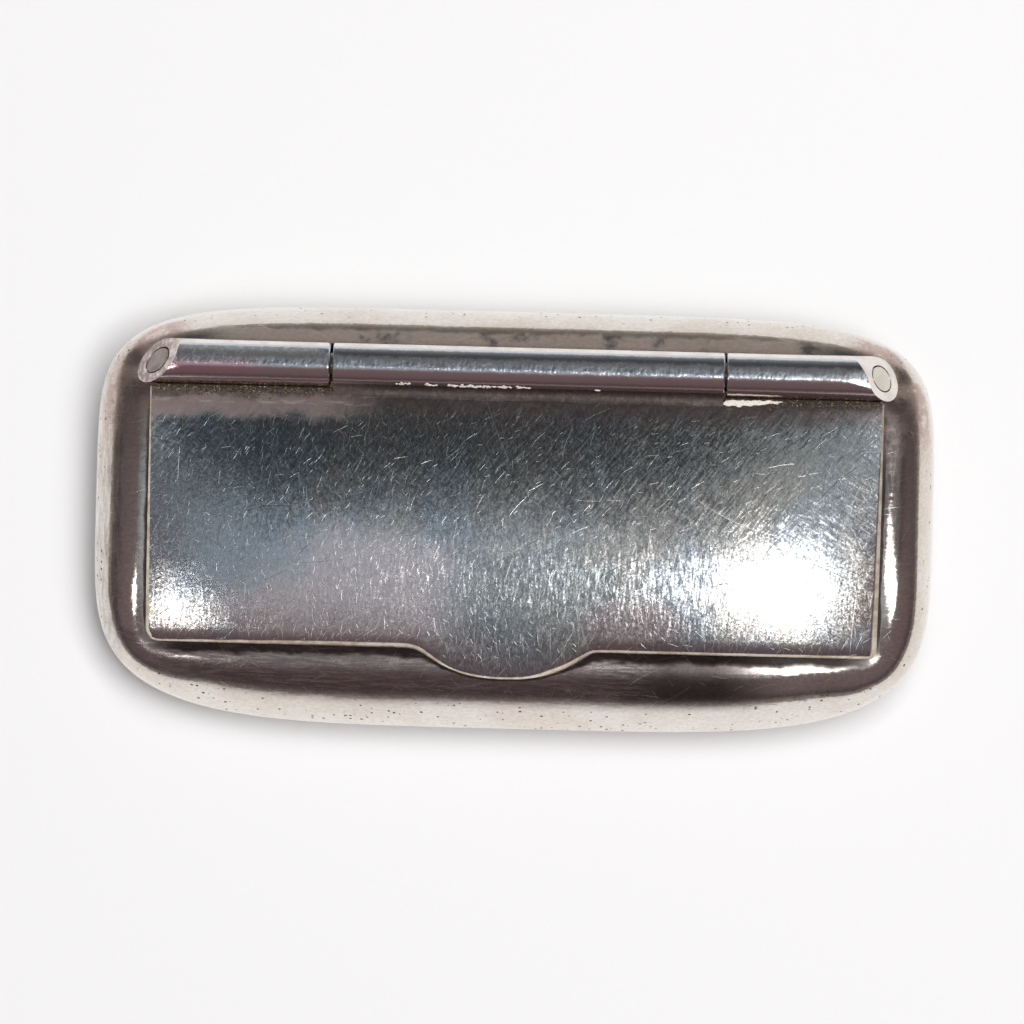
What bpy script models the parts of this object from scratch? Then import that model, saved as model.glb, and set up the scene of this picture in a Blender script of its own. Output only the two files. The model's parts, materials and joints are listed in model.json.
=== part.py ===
"""A pocket snuff box of silver sheet: a cushion-shaped case of two shells, and a domed lid on a
full-length hinge of three knuckles. The box lies on its base: +X runs along it to the right, +Y
to the hinge at the back, and +Z up. Everything is in metres."""

import math

import bmesh
import bpy
from mathutils import Vector

# Case
BODY_LENGTH = 0.0700
BODY_DEPTH = 0.0349
GIRDLE_HEIGHT = 0.0060  # the widest line, where the two shells meet
SHEET = 0.0008
FOOT_INSET = 0.0046  # from the girdle in to the edge of the flat base
FRONT_SQUARENESS = 4.2  # powers of the plan outline: 2 is an ellipse, and more is squarer
BACK_SQUARENESS = 5.5
WALL_FULLNESS = 2.3  # the same for the walls' curve, from the girdle to the rim and to the base

# Lid
SIDE_SHOULDER = 0.0048  # from the girdle in to the lid's edge
FRONT_SHOULDER = 0.00675
LID_SHEET = 0.0007
LID_ABOVE_AXIS = 0.0004  # the top face at the back edge, over the hinge axis
CROWN_RISE = 0.0011
END_FALL = 0.0015  # how far the front corners lie below the middle of the front edge
END_FALL_POWER = 4
LOBE_WIDTH = 0.0145  # the thumbpiece, an arc of the front edge
LOBE_DEPTH = 0.0024
LOBE_SHIFT = 0.0005  # to the left of the box's middle
LOBE_GAP = 0.0001  # least space under the thumbpiece's tip
LID_OVERLAP = 0.0003  # how far the lid covers the rim
SIDE_GAP = 0.00035  # under the lid at its back and sides

# Hinge
HINGE_SETBACK = 0.0050  # from the girdle in to the axis
AXIS_HEIGHT = 0.0120
BARREL_DIAMETER = 0.0037
PIN_DIAMETER = 0.0020
PIN_CLEARANCE = 0.00008
CENTRE_KNUCKLE_LENGTH = 0.0322
CENTRE_KNUCKLE_SHIFT = 0.0009  # to the right of the box's middle
KNUCKLE_GAP = 0.0003
PLUG_DEPTH = 0.0020  # how far the end plugs reach in from the lid's ends
FILED_LEAN = math.radians(27)  # the barrel's back and ends are filed to this slope
FILED_DEPTH = 0.00005
END_ROUNDING = 0.0036  # in plan, where the filed back turns into the filed ends
END_MITRE = math.radians(27)  # how far the filed ends face to the back
END_SETBACK = 0.00045  # from the lid's ends in to the filed ends, on the axis
SEAT_WALL = 0.0006  # the trough that the barrel lies in
SEAT_LIP_ANGLE = math.radians(50)  # how far below the axis the trough's back lip stops
SEAT_SETBACK = 0.0018  # from the lid's ends in to the trough's ends
BEARER_WIDTH = 0.0014
BEARER_LIP_ANGLE = math.radians(40)  # how far below the axis the bearer reaches

# Rim
LINER_SHEET = 0.0006
LINER_DROP = 0.0014  # below the lowest corner of the rim
FLANGE_SHEET = 0.0006
FLANGE_DROP = 0.0014  # below the lowest corner of the lid's underside

# Clearances
JOINT_GAP = 0.0003  # between pieces that are soldered or rest on each other
RUN_GAP = 0.0003  # between pieces that move past each other
MERGE = 0.000001

# Fineness
LONG_STEPS = 28
SHORT_STEPS = 20
WALL_STEPS = 7
LID_END_STEPS = 8
LOBE_STEPS = 16
LID_ROWS = 10
ROUND_STEPS = 32
CORNER_STEPS = 6
STRIP_STEPS = 12
CORNER_CROWDING = math.radians(75)  # draws the outlines' points together at the corners

# Places that follow from these
BARREL_RADIUS = BARREL_DIAMETER / 2
SLOT_RADIUS = BARREL_RADIUS + RUN_GAP
SEAT_RADIUS = SLOT_RADIUS + SEAT_WALL
AXIS_Y = BODY_DEPTH / 2 - HINGE_SETBACK
AXIS = Vector((0, AXIS_Y, AXIS_HEIGHT))
LID_HALF_LENGTH = BODY_LENGTH / 2 - SIDE_SHOULDER
LID_BACK_Y = AXIS_Y - SLOT_RADIUS
LID_FRONT_Y = FRONT_SHOULDER - BODY_DEPTH / 2
LID_DEPTH = LID_BACK_Y - LID_FRONT_Y
RIM_HALF_LENGTH = LID_HALF_LENGTH - LID_OVERLAP
RIM_FRONT_Y = LID_FRONT_Y + LID_OVERLAP
RIM_BACK_Y = AXIS_Y + BARREL_RADIUS / 2  # under the barrel, so the slot takes this edge away
CENTRE_LEFT = CENTRE_KNUCKLE_SHIFT - CENTRE_KNUCKLE_LENGTH / 2
CENTRE_RIGHT = CENTRE_KNUCKLE_SHIFT + CENTRE_KNUCKLE_LENGTH / 2
PLUG_START = LID_HALF_LENGTH - PLUG_DEPTH

# Colour, roughness and metallic value of each finish
FINISHES = {
    "outside": ((0.56, 0.55, 0.54, 1), 0.30, 1),
    "worn": ((0.66, 0.64, 0.61, 1), 0.26, 1),
    "inside": ((0.80, 0.64, 0.38, 1), 0.36, 1),
}


def clear_scene():
    for thing in list(bpy.data.objects):
        bpy.data.objects.remove(thing)


def new_collection(name):
    made = bpy.data.collections.new(name)
    bpy.context.scene.collection.children.link(made)
    return made


def new_material(name, finish):
    colour, roughness, metallic = FINISHES[finish]
    made = bpy.data.materials.new(name)
    made.use_nodes = True
    shader = made.node_tree.nodes["Principled BSDF"]
    shader.inputs["Base Color"].default_value = colour
    shader.inputs["Roughness"].default_value = roughness
    shader.inputs["Metallic"].default_value = metallic
    made.diffuse_color = colour
    return made


def new_object(name, mesh, collection, finish=None):
    made = bpy.data.objects.new(name, mesh)
    collection.objects.link(made)
    if finish:
        mesh.materials.append(new_material(name + "_metal", finish))
        mesh.shade_smooth()
        mesh.set_sharp_from_angle(angle=math.radians(30))
    else:
        made.hide_render = True
        made.display_type = "WIRE"
    return made


def mesh_from(bm, name):
    bmesh.ops.recalc_face_normals(bm, faces=bm.faces)
    mesh = bpy.data.meshes.new(name)
    bm.to_mesh(mesh)
    bm.free()
    return mesh


def arch_drop(t):
    """The crown's height over the back edge, at a share t of the way to the front edge."""
    return 4 * CROWN_RISE * t * (1 - t)


def crown(x, y):
    """Height of the lid's top face: an arch from back to front, falling off to the front corners."""
    t = max((LID_BACK_Y - y) / LID_DEPTH, 0)
    fade = 1 - (1 - min(t, 1)) ** 3
    fall = END_FALL * abs(x / LID_HALF_LENGTH) ** END_FALL_POWER * fade
    return AXIS_HEIGHT + LID_ABOVE_AXIS + arch_drop(t) - fall


def underside(x, y):
    return crown(x, y) - LID_SHEET


def rim_height(x, y):
    """Height of the rim. The space under the lid grows to the front, where the thumbpiece dips."""
    front_gap = LOBE_GAP - arch_drop(1 + LOBE_DEPTH / LID_DEPTH)
    t = min(max((LID_BACK_Y - y) / LID_DEPTH, 0), 1)
    return underside(x, y) - SIDE_GAP - (front_gap - SIDE_GAP) * t**4


def unit_square():
    """Places round a square of half side 1, anticlockwise from its front left corner."""

    def places(steps):
        angles = [CORNER_CROWDING * (2 * step / steps - 1) for step in range(steps)]
        return [math.sin(angle) / math.sin(CORNER_CROWDING) for angle in angles]

    long, short = places(LONG_STEPS), places(SHORT_STEPS)
    front = [(place, -1) for place in long]
    right = [(1, place) for place in short]
    back = [(-place, 1) for place in long]
    left = [(-1, -place) for place in short]
    return front + right + back + left


def contour_point(u, v, inset):
    """The plan outline of the case, drawn in by inset, at a place of the unit square. Its corners
    go to the points where the outline runs at 45 degrees."""
    a, b = BODY_LENGTH / 2 - inset, BODY_DEPTH / 2 - inset
    power = FRONT_SQUARENESS if v < 0 else BACK_SQUARENESS
    corner = (1 + (b / a) ** (power / (power - 1))) ** (-1 / power)
    if abs(v) == 1:
        x = u * corner
        return Vector((a * x, v * b * (1 - abs(x) ** power) ** (1 / power)))
    y = v * corner * (b / a) ** (1 / (power - 1))
    return Vector((u * a * (1 - abs(y) ** power) ** (1 / power), b * y))


def rim_point(u, v):
    """The case's opening at a place of the unit square."""
    return Vector((u * RIM_HALF_LENGTH, v * (RIM_BACK_Y if v > 0 else -RIM_FRONT_Y)))


def wall_curve(step):
    """How far the wall has turned in, and how far it has climbed, at a step from 0 to WALL_STEPS."""
    angle = step / WALL_STEPS * math.pi / 2
    inward = 1 - max(math.cos(angle), 0) ** (2 / WALL_FULLNESS)
    return inward, math.sin(angle) ** (2 / WALL_FULLNESS)


def upper_ring(step, inset):
    """One level of the upper shell's outer face, or of its inner face, which lies in by inset."""
    inward, climb = wall_curve(step)
    ring = []
    for u, v in unit_square():
        girdle, rim = contour_point(u, v, inset), rim_point(u, v)
        top = rim_height(rim.x, rim.y) - inset
        x, y = girdle.lerp(rim, inward)
        ring.append((x, y, GIRDLE_HEIGHT + (top - GIRDLE_HEIGHT) * climb))
    return ring


def base_ring(step, inset):
    """One level of the base shell, from the girdle at step 0 down to the flat base."""
    inward, climb = wall_curve(step)
    top = GIRDLE_HEIGHT - JOINT_GAP
    height = top - (top - inset) * climb
    places = [contour_point(u, v, inset + FOOT_INSET * inward) for u, v in unit_square()]
    return [(x, y, height) for x, y in places]


def loft(rings, name):
    """A wall through rings of points, each extruded from the one before it. It is capped, unless
    the last ring is the first one again."""
    endless = rings[0] == rings[-1]
    bm = bmesh.new()
    ring = bmesh.ops.create_circle(
        bm, cap_ends=not endless, segments=len(rings[0]), radius=1
    )["verts"]
    for vert, point in zip(ring, rings[0]):
        vert.co = point
    for points in rings[1:]:
        edges = [bm.edges.get((ring[i - 1], ring[i])) for i in range(len(ring))]
        made = bmesh.ops.extrude_edge_only(bm, edges=edges)["geom"]
        grown = {item for item in made if isinstance(item, bmesh.types.BMVert)}
        neighbours = [[edge.other_vert(vert) for edge in vert.link_edges] for vert in ring]
        ring = [(set(around) & grown).pop() for around in neighbours]
        for vert, point in zip(ring, points):
            vert.co = point
    if endless:
        bmesh.ops.remove_doubles(bm, verts=bm.verts, dist=MERGE)
    else:
        edges = [bm.edges.get((ring[i - 1], ring[i])) for i in range(len(ring))]
        bmesh.ops.contextual_create(bm, geom=edges)
    return mesh_from(bm, name)


def filed_outline(rise, margin):
    """Plan of the filed barrel at a height above the axis: its back and ends lean in as it rises."""
    grown = margin / math.cos(FILED_LEAN) - rise * math.tan(FILED_LEAN)
    radius = END_ROUNDING + grown
    centre_y = AXIS_Y + (BARREL_RADIUS - FILED_DEPTH) / math.cos(FILED_LEAN) - END_ROUNDING
    end_span = END_ROUNDING - (AXIS_Y - centre_y) * math.sin(END_MITRE)
    centre_x = LID_HALF_LENGTH - END_SETBACK - end_span / math.cos(END_MITRE)
    front_y = AXIS_Y - 2 * SLOT_RADIUS
    front_x = centre_x + (radius - (front_y - centre_y) * math.sin(END_MITRE)) / math.cos(END_MITRE)
    half = [(front_x, front_y)]
    for step in range(CORNER_STEPS + 1):
        angle = END_MITRE + (math.pi / 2 - END_MITRE) * step / CORNER_STEPS
        half.append((centre_x + radius * math.cos(angle), centre_y + radius * math.sin(angle)))
    return half + [(-x, y) for x, y in reversed(half)]


def filed_solid(name, margin, collection):
    """What the files leave of the barrel, or with a margin the space it needs, as a tapered block."""
    reach = SLOT_RADIUS + JOINT_GAP
    rings = []
    for rise in (-reach, reach):
        rings.append([(x, y, AXIS_HEIGHT + rise) for x, y in filed_outline(rise, margin)])
    return new_object(name, loft(rings, name), collection)


def rod(name, radius, left, right, collection, finish=None):
    """A round bar along the hinge axis, with its origin on the axis."""
    bm = bmesh.new()
    bmesh.ops.create_cone(
        bm, cap_ends=True, segments=ROUND_STEPS, radius1=radius, radius2=radius, depth=right - left
    )
    made = new_object(name, mesh_from(bm, name), collection, finish)
    made.rotation_euler.y = math.pi / 2
    made.location = AXIS + Vector(((left + right) / 2, 0, 0))
    return made


def boolean(target, cutter, operation):
    step = target.modifiers.new(operation.lower() + "_" + cutter.name, "BOOLEAN")
    step.operation = operation
    step.object = cutter


def extruded(name, outline, length, collection, finish):
    """A flat outline given a thickness along its own Z, as a mesh."""
    curve = bpy.data.curves.new(name + "_outline", "CURVE")
    curve.dimensions = "2D"
    curve.fill_mode = "BOTH"
    curve.extrude = length / 2
    spline = curve.splines.new("POLY")
    spline.points.add(len(outline) - 1)
    for point, (across, up) in zip(spline.points, outline):
        point.co = (across, up, 0, 1)
    spline.use_cyclic_u = True
    guide = bpy.data.objects.new(name + "_outline", curve)
    collection.objects.link(guide)
    bpy.context.view_layer.update()
    mesh = bpy.data.meshes.new_from_object(guide.evaluated_get(bpy.context.evaluated_depsgraph_get()))
    bpy.data.objects.remove(guide)
    bm = bmesh.new()
    bm.from_mesh(mesh)
    bmesh.ops.remove_doubles(bm, verts=bm.verts, dist=MERGE)
    bpy.data.meshes.remove(mesh)
    return new_object(name, mesh_from(bm, name), collection, finish)


def along_box(name, outline, left, right, collection, finish):
    """A section in Y and Z, from the hinge axis, run along X."""
    made = extruded(name, outline, right - left, collection, finish)
    made.rotation_euler = (math.pi / 2, 0, math.pi / 2)
    made.location = AXIS + Vector(((left + right) / 2, 0, 0))
    return made


def upright_strip(name, run, bottom, top, collection, finish, x=None, y=None, sheet=0):
    """An upright strip whose upper edge follows the lid: along Y at the given x, or along X at the
    given y. run is where it starts and ends."""
    start, end = run
    steps = [end + (start - end) * step / STRIP_STEPS for step in range(STRIP_STEPS + 1)]
    heights = [top(place if x is None else x, place if y is None else y) for place in steps]
    outline = [(start, bottom), (end, bottom)] + list(zip(steps, heights))
    made = extruded(name, outline, sheet, collection, finish)
    made.rotation_euler = (math.pi / 2, 0, 0 if x is None else math.pi / 2)
    made.location = (x or 0, y or 0, 0)
    return made


def arc(radius, start, end):
    """Points from the hinge axis, as Y and Z."""
    steps = [start + (end - start) * step / STRIP_STEPS for step in range(STRIP_STEPS + 1)]
    return [(radius * math.cos(angle), radius * math.sin(angle)) for angle in steps]


def front_angle(radius, height):
    """Where a circle round the axis comes down to this height on its front side."""
    return math.pi + math.asin((AXIS_HEIGHT - height) / radius)


def make_shells(case, cutters):
    outer = [upper_ring(step, 0) for step in range(WALL_STEPS + 1)]
    inner = [upper_ring(step, SHEET) for step in range(WALL_STEPS, -1, -1)]
    upper = new_object(
        "upper_shell", loft(outer + inner + outer[:1], "upper_shell"), case, "outside"
    )
    slot = rod("hinge_slot", SLOT_RADIUS, -BODY_LENGTH / 2, BODY_LENGTH / 2, cutters)
    boolean(slot, filed_solid("hinge_slot_ends", JOINT_GAP, cutters), "INTERSECT")
    boolean(upper, slot, "DIFFERENCE")

    outer = [base_ring(step, 0) for step in range(WALL_STEPS, -1, -1)]
    inner = [base_ring(step, SHEET) for step in range(WALL_STEPS + 1)]
    new_object("base_shell", loft(outer + inner, "base_shell"), case, "outside")


def make_lid(lid):
    """The lid's sheet, as a grid bent to the crown, with the thumbpiece in its front row."""
    columns = 2 * LID_END_STEPS + LOBE_STEPS
    bm = bmesh.new()
    bmesh.ops.create_grid(bm, x_segments=columns, y_segments=LID_ROWS, size=0.5)
    half_lobe = LOBE_WIDTH / 2
    lobe_radius = (half_lobe**2 + LOBE_DEPTH**2) / (2 * LOBE_DEPTH)
    for vert in bm.verts:
        side = math.copysign(1, vert.co.x)
        column = abs(vert.co.x) * columns
        x = side * min(column / (LOBE_STEPS / 2), 1) * half_lobe - LOBE_SHIFT
        lobe = math.sqrt(lobe_radius**2 - (x + LOBE_SHIFT) ** 2) - (lobe_radius - LOBE_DEPTH)
        past_lobe = max(column - LOBE_STEPS / 2, 0) / LID_END_STEPS
        x += past_lobe * (side * LID_HALF_LENGTH - x)
        y = LID_BACK_Y - (0.5 - vert.co.y) * (LID_DEPTH + max(lobe, 0))
        vert.co = (x, y, crown(x, y))
    below = bmesh.ops.extrude_face_region(bm, geom=bm.faces[:])["geom"]
    below = [item for item in below if isinstance(item, bmesh.types.BMVert)]
    bmesh.ops.translate(bm, verts=below, vec=(0, 0, -LID_SHEET))
    bmesh.ops.translate(bm, verts=bm.verts, vec=-AXIS)
    made = new_object("lid_panel", mesh_from(bm, "lid_panel"), lid, "outside")
    made.location = AXIS


def make_hinge(case, lid, cutters):
    filed = filed_solid("filed_barrel", 0, cutters)
    half = BODY_LENGTH / 2
    bore = rod("pin_bore", PIN_DIAMETER / 2 + PIN_CLEARANCE, -half, half, cutters)
    for name, left, right, collection in (
        ("left_knuckle", -half, CENTRE_LEFT - KNUCKLE_GAP, case),
        ("lid_knuckle", CENTRE_LEFT, CENTRE_RIGHT, lid),
        ("right_knuckle", CENTRE_RIGHT + KNUCKLE_GAP, half, case),
    ):
        knuckle = rod(name, BARREL_RADIUS, left, right, collection, "worn")
        boolean(knuckle, filed, "INTERSECT")
        boolean(knuckle, bore, "DIFFERENCE")

    pin_reach = PLUG_START - JOINT_GAP
    rod("hinge_pin", PIN_DIAMETER / 2, -pin_reach, pin_reach, case, "worn")
    for name, left, right in (
        ("left_end_plug", -half, -PLUG_START),
        ("right_end_plug", PLUG_START, half),
    ):
        boolean(rod(name, PIN_DIAMETER / 2, left, right, case, "worn"), filed, "INTERSECT")


def make_hinge_supports(case, lid):
    """The trough under the barrel, and the strip that carries the lid's edge on its knuckle."""
    front_y = LID_BACK_Y - BEARER_WIDTH
    edge_top = underside(0, LID_BACK_Y) - JOINT_GAP
    bottom = AXIS_HEIGHT - SLOT_RADIUS * math.sin(BEARER_LIP_ANGLE)
    front = [
        (front_y - AXIS_Y, underside(0, front_y) - JOINT_GAP - AXIS_HEIGHT),
        (front_y - AXIS_Y, bottom - AXIS_HEIGHT),
    ]
    back = arc(SLOT_RADIUS, front_angle(SLOT_RADIUS, bottom), front_angle(SLOT_RADIUS, edge_top))
    along_box("lid_bearer", front + back, CENTRE_LEFT, CENTRE_RIGHT, lid, "inside")

    lip = bottom - RUN_GAP
    back_angle = 2 * math.pi - SEAT_LIP_ANGLE
    inner = arc(SLOT_RADIUS, front_angle(SLOT_RADIUS, lip), back_angle)
    outer = arc(SEAT_RADIUS, back_angle, front_angle(SEAT_RADIUS, lip))
    reach = LID_HALF_LENGTH - SEAT_SETBACK
    along_box("hinge_seat", inner + outer, -reach, reach, case, "inside")


def make_rim(case, lid):
    """Upright strips inside the opening, and those under the lid that close inside them."""
    corner = (LID_HALF_LENGTH, LID_FRONT_Y)
    back_y = AXIS_Y - SEAT_RADIUS - JOINT_GAP
    liner_bottom = rim_height(*corner) - LINER_DROP
    liner_x = RIM_HALF_LENGTH - JOINT_GAP
    liner_y = RIM_FRONT_Y + JOINT_GAP
    for name, side in (("rim_liner_left", -1), ("rim_liner_right", 1)):
        upright_strip(
            name, (liner_y, back_y), liner_bottom, rim_height, case, "inside",
            x=side * (liner_x - LINER_SHEET / 2), sheet=LINER_SHEET,
        )
    inner_x = liner_x - LINER_SHEET
    inner_y = liner_y + LINER_SHEET
    front_reach = inner_x - JOINT_GAP
    upright_strip(
        "rim_liner_front", (-front_reach, front_reach), liner_bottom, rim_height, case, "inside",
        y=liner_y + LINER_SHEET / 2, sheet=LINER_SHEET,
    )

    def flange_top(x, y):
        return underside(x, y) - JOINT_GAP

    flange_bottom = underside(*corner) - FLANGE_DROP
    swing = math.hypot(AXIS_Y - inner_y, AXIS_HEIGHT - flange_bottom) - (AXIS_Y - inner_y)
    flange_x = inner_x - RUN_GAP
    flange_y = inner_y + RUN_GAP + swing
    for name, side in (("lid_flange_left", -1), ("lid_flange_right", 1)):
        upright_strip(
            name, (flange_y, back_y), flange_bottom, flange_top, lid, "inside",
            x=side * (flange_x - FLANGE_SHEET / 2), sheet=FLANGE_SHEET,
        )
    front_reach = flange_x - FLANGE_SHEET - JOINT_GAP
    upright_strip(
        "lid_flange_front", (-front_reach, front_reach), flange_bottom, flange_top, lid, "inside",
        y=flange_y + FLANGE_SHEET / 2, sheet=FLANGE_SHEET,
    )


def hang_on_axis(lid, box):
    """Parents the lid's pieces to an empty on the hinge axis, which turns them."""
    axis = bpy.data.objects.new("lid_hinge_axis", None)
    axis.empty_display_size = BODY_DEPTH
    axis.location = AXIS
    box.objects.link(axis)
    bpy.context.view_layer.update()
    for piece in list(lid.objects):
        piece.parent = axis
        piece.matrix_parent_inverse = axis.matrix_world.inverted()


def main():
    clear_scene()
    box = new_collection("snuff_box")
    cutters = new_collection("cutters")
    case = bpy.data.collections.new("case")
    lid = bpy.data.collections.new("lid")
    for half in (case, lid):
        box.children.link(half)
    make_shells(case, cutters)
    make_lid(lid)
    make_hinge(case, lid, cutters)
    make_hinge_supports(case, lid)
    make_rim(case, lid)
    hang_on_axis(lid, box)


main()
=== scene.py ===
"""The looks of an old silver snuff box: a cushion-shaped case, a domed lid with a thumbpiece and a
full-length barrel hinge. The box lies on its base, with +X along it to the right, +Y to the hinge
at the back and +Z up, in metres."""

import json
import math
import random

import bmesh
import bpy
from mathutils import Matrix, Vector, noise


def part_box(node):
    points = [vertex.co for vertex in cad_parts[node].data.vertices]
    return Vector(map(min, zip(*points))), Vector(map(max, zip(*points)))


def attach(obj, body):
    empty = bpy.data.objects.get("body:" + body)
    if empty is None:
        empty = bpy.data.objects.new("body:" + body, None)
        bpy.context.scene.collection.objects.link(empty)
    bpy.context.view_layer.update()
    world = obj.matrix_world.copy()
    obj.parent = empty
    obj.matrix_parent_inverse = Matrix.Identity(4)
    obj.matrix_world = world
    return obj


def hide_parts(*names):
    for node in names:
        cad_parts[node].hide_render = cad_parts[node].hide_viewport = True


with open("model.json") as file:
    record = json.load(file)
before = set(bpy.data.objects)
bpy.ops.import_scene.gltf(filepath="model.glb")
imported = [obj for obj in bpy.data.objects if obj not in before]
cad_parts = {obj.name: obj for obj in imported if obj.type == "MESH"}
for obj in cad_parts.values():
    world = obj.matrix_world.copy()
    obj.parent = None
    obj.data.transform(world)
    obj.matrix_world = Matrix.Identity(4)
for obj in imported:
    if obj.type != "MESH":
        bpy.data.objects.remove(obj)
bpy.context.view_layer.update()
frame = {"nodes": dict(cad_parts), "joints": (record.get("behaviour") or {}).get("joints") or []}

bl_info = {
    "name": "Silver snuff box",
    "version": (1, 0, 0),
    "blender": (4, 5, 0),
    "location": "3D View > Sidebar > Snuff box",
    "description": "Makes the fine surfaces and finishes of a silver snuff box",
    "category": "Add Mesh",
}

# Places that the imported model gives
AXIS = Vector(frame["joints"][0]["pos_m"])
BASE_LOW, BASE_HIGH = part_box("base_shell")
LID_LOW, LID_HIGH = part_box("lid_panel")
CENTRE_LOW, CENTRE_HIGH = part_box("lid_knuckle")
LINER_LOW, LINER_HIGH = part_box("rim_liner_left")
FLANGE_LOW, FLANGE_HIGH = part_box("lid_flange_front")
FLANGE_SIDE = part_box("lid_flange_right")[1]

BODY_LENGTH = BASE_HIGH.x - BASE_LOW.x
BODY_DEPTH = BASE_HIGH.y - BASE_LOW.y
BARREL_RADIUS = CENTRE_HIGH.z - AXIS.z
PIN_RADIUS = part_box("hinge_pin")[1].z - AXIS.z
LID_HALF_LENGTH = LID_HIGH.x
LID_BACK_Y = LID_HIGH.y

MM = 0.001
MERGE = 0.000001
QUARTER = math.pi / 2
EDGE_ANGLE = math.radians(60)
# Beyond this many times its softness, a soft bend is no longer felt
SOFT_REACH = 30
BEVEL_SHARES = (0, 0.35, 0.7, 1.0, 1.2, 1.7)


def size(name, description, default, **limits):
    """A length that a user can change."""
    return bpy.props.FloatProperty(
        name=name, description=description, default=default, unit="LENGTH", precision=5, **limits
    )


def share(name, description, default, highest=1.0):
    """A plain number that a user can change."""
    return bpy.props.FloatProperty(
        name=name, description=description, default=default, min=0, max=highest, precision=3
    )


def turn(name, description, degrees):
    """An angle that a user can change."""
    return bpy.props.FloatProperty(
        name=name, description=description, default=math.radians(degrees), subtype="ANGLE"
    )


def colour(name, description, default):
    """A linear colour that a user can change."""
    return bpy.props.FloatVectorProperty(
        name=name, description=description, default=default, size=3, min=0, max=1, subtype="COLOR"
    )


class CaseSizes(bpy.types.PropertyGroup):
    girdle: size("Girdle height", "Height of the case's widest line", BASE_HIGH.z - 0.1 * MM)
    sheet: size("Sheet", "Thickness of the case's silver sheet", 0.8 * MM)
    foot: size("Foot inset", "From the girdle in to the edge of the flat base", 4.6 * MM)
    front_squareness: share("Front squareness", "Power of the outline's front half", 4.2, 9)
    back_squareness: share("Back squareness", "Power of the outline's back half", 5.5, 9)
    fullness: share("Wall fullness", "Power of the walls' curve, where 2 is an ellipse", 2.3, 4)
    front_run: share("Front run", "Power of the front wall's curve along its depth", 3.0, 4)
    front_rise: share("Front rise", "Power of the front wall's curve along its height", 1.07, 4)
    right_run: share("Right run", "Power of the right wall's curve along its depth", 3.4, 4)
    right_rise: share("Right rise", "Power of the right wall's curve along its height", 1.9, 4)
    back_corner: size("Back corner", "Rounding of the rim's back corners, under the hinge", 3.5 * MM)
    front_corner: size("Front corner", "Rounding of the rim's front corners, in plan", 0.8 * MM)
    end_dip: size("End dip", "How deep the shoulder dips round the barrel's ends", 1.15 * MM)
    dip_reach: size("Dip reach", "How far that dip reaches", 1.6 * MM)
    overlap: size("Lid overlap", "How far the lid covers the rim", 0.3 * MM)
    side_gap: size("Side gap", "Space under the lid at its back and sides", 0.35 * MM)
    lobe_gap: size("Front gap", "Least space under the thumbpiece's tip", 0.1 * MM)
    rim_round: size("Rim rounding", "Wear of the opening's edge", 0.12 * MM)
    around: bpy.props.IntProperty(name="Steps around", description="Points round the case", default=248)
    up: bpy.props.IntProperty(name="Steps up", description="Steps from the girdle to the rim", default=26)


class LidSizes(bpy.types.PropertyGroup):
    sheet: size("Sheet", "Thickness of the lid's silver sheet", 0.7 * MM)
    above_axis: size("Back edge height", "Top face at the back edge, over the hinge axis", 0.4 * MM)
    crown: size("Crown", "Rise of the dome from its back edge", 1.1 * MM)
    end_fall: size("End fall", "How far the front corners lie below the front's middle", 1.5 * MM)
    end_fall_power: share("End fall power", "How late the dome falls off to its ends", 4, 9)
    lobe_length: size("Thumbpiece length", "Along the front edge", 14.5 * MM)
    lobe_depth: size("Thumbpiece depth", "How far it stands out from the front edge", 2.4 * MM)
    lobe_shift: size("Thumbpiece shift", "To the left of the box's middle", 0.5 * MM)
    lobe_power: share("Thumbpiece power", "Shape of its outline, where 2 is a parabola", 2.45, 9)
    left_fillet: size("Left fillet", "Hollow between thumbpiece and edge, left", 0.28 * MM)
    right_fillet: size("Right fillet", "The same on the right", 0.07 * MM)
    left_bevel: size("Left bevel", "Width of the worn bevel along the left edge", 0.33 * MM)
    right_bevel: size("Right bevel", "Width of the bevel along the right edge", 0.55 * MM)
    taper: share("Bevel taper", "How much of the side bevels is lost towards the hinge", 0.72)
    back_bevel: size("Back bevel", "Width of the bevel along the back edge", 0.05 * MM)
    thin_bevel: size("Thin front bevel", "Least width of the front edge's bevel", 0.16 * MM)
    thick_bevel: size("Thick front bevel", "Its width left of the thumbpiece", 0.42 * MM)
    roll: size("Front roll", "How far the dome rolls down to the front edge", 0.14 * MM)
    roll_width: size("Front roll width", "Over what width it does so", 1.1 * MM)
    left_corner: size("Left corner", "Rounding of the front left corner, in plan", 1.1 * MM)
    right_corner: size("Right corner", "Rounding of the front right corner, in plan", 0.6 * MM)
    ripple: size("Ripple", "Unevenness of the hand-made dome", 0.014 * MM)
    step: size("Step", "Spacing of the dome's points", 0.42 * MM)


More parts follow.
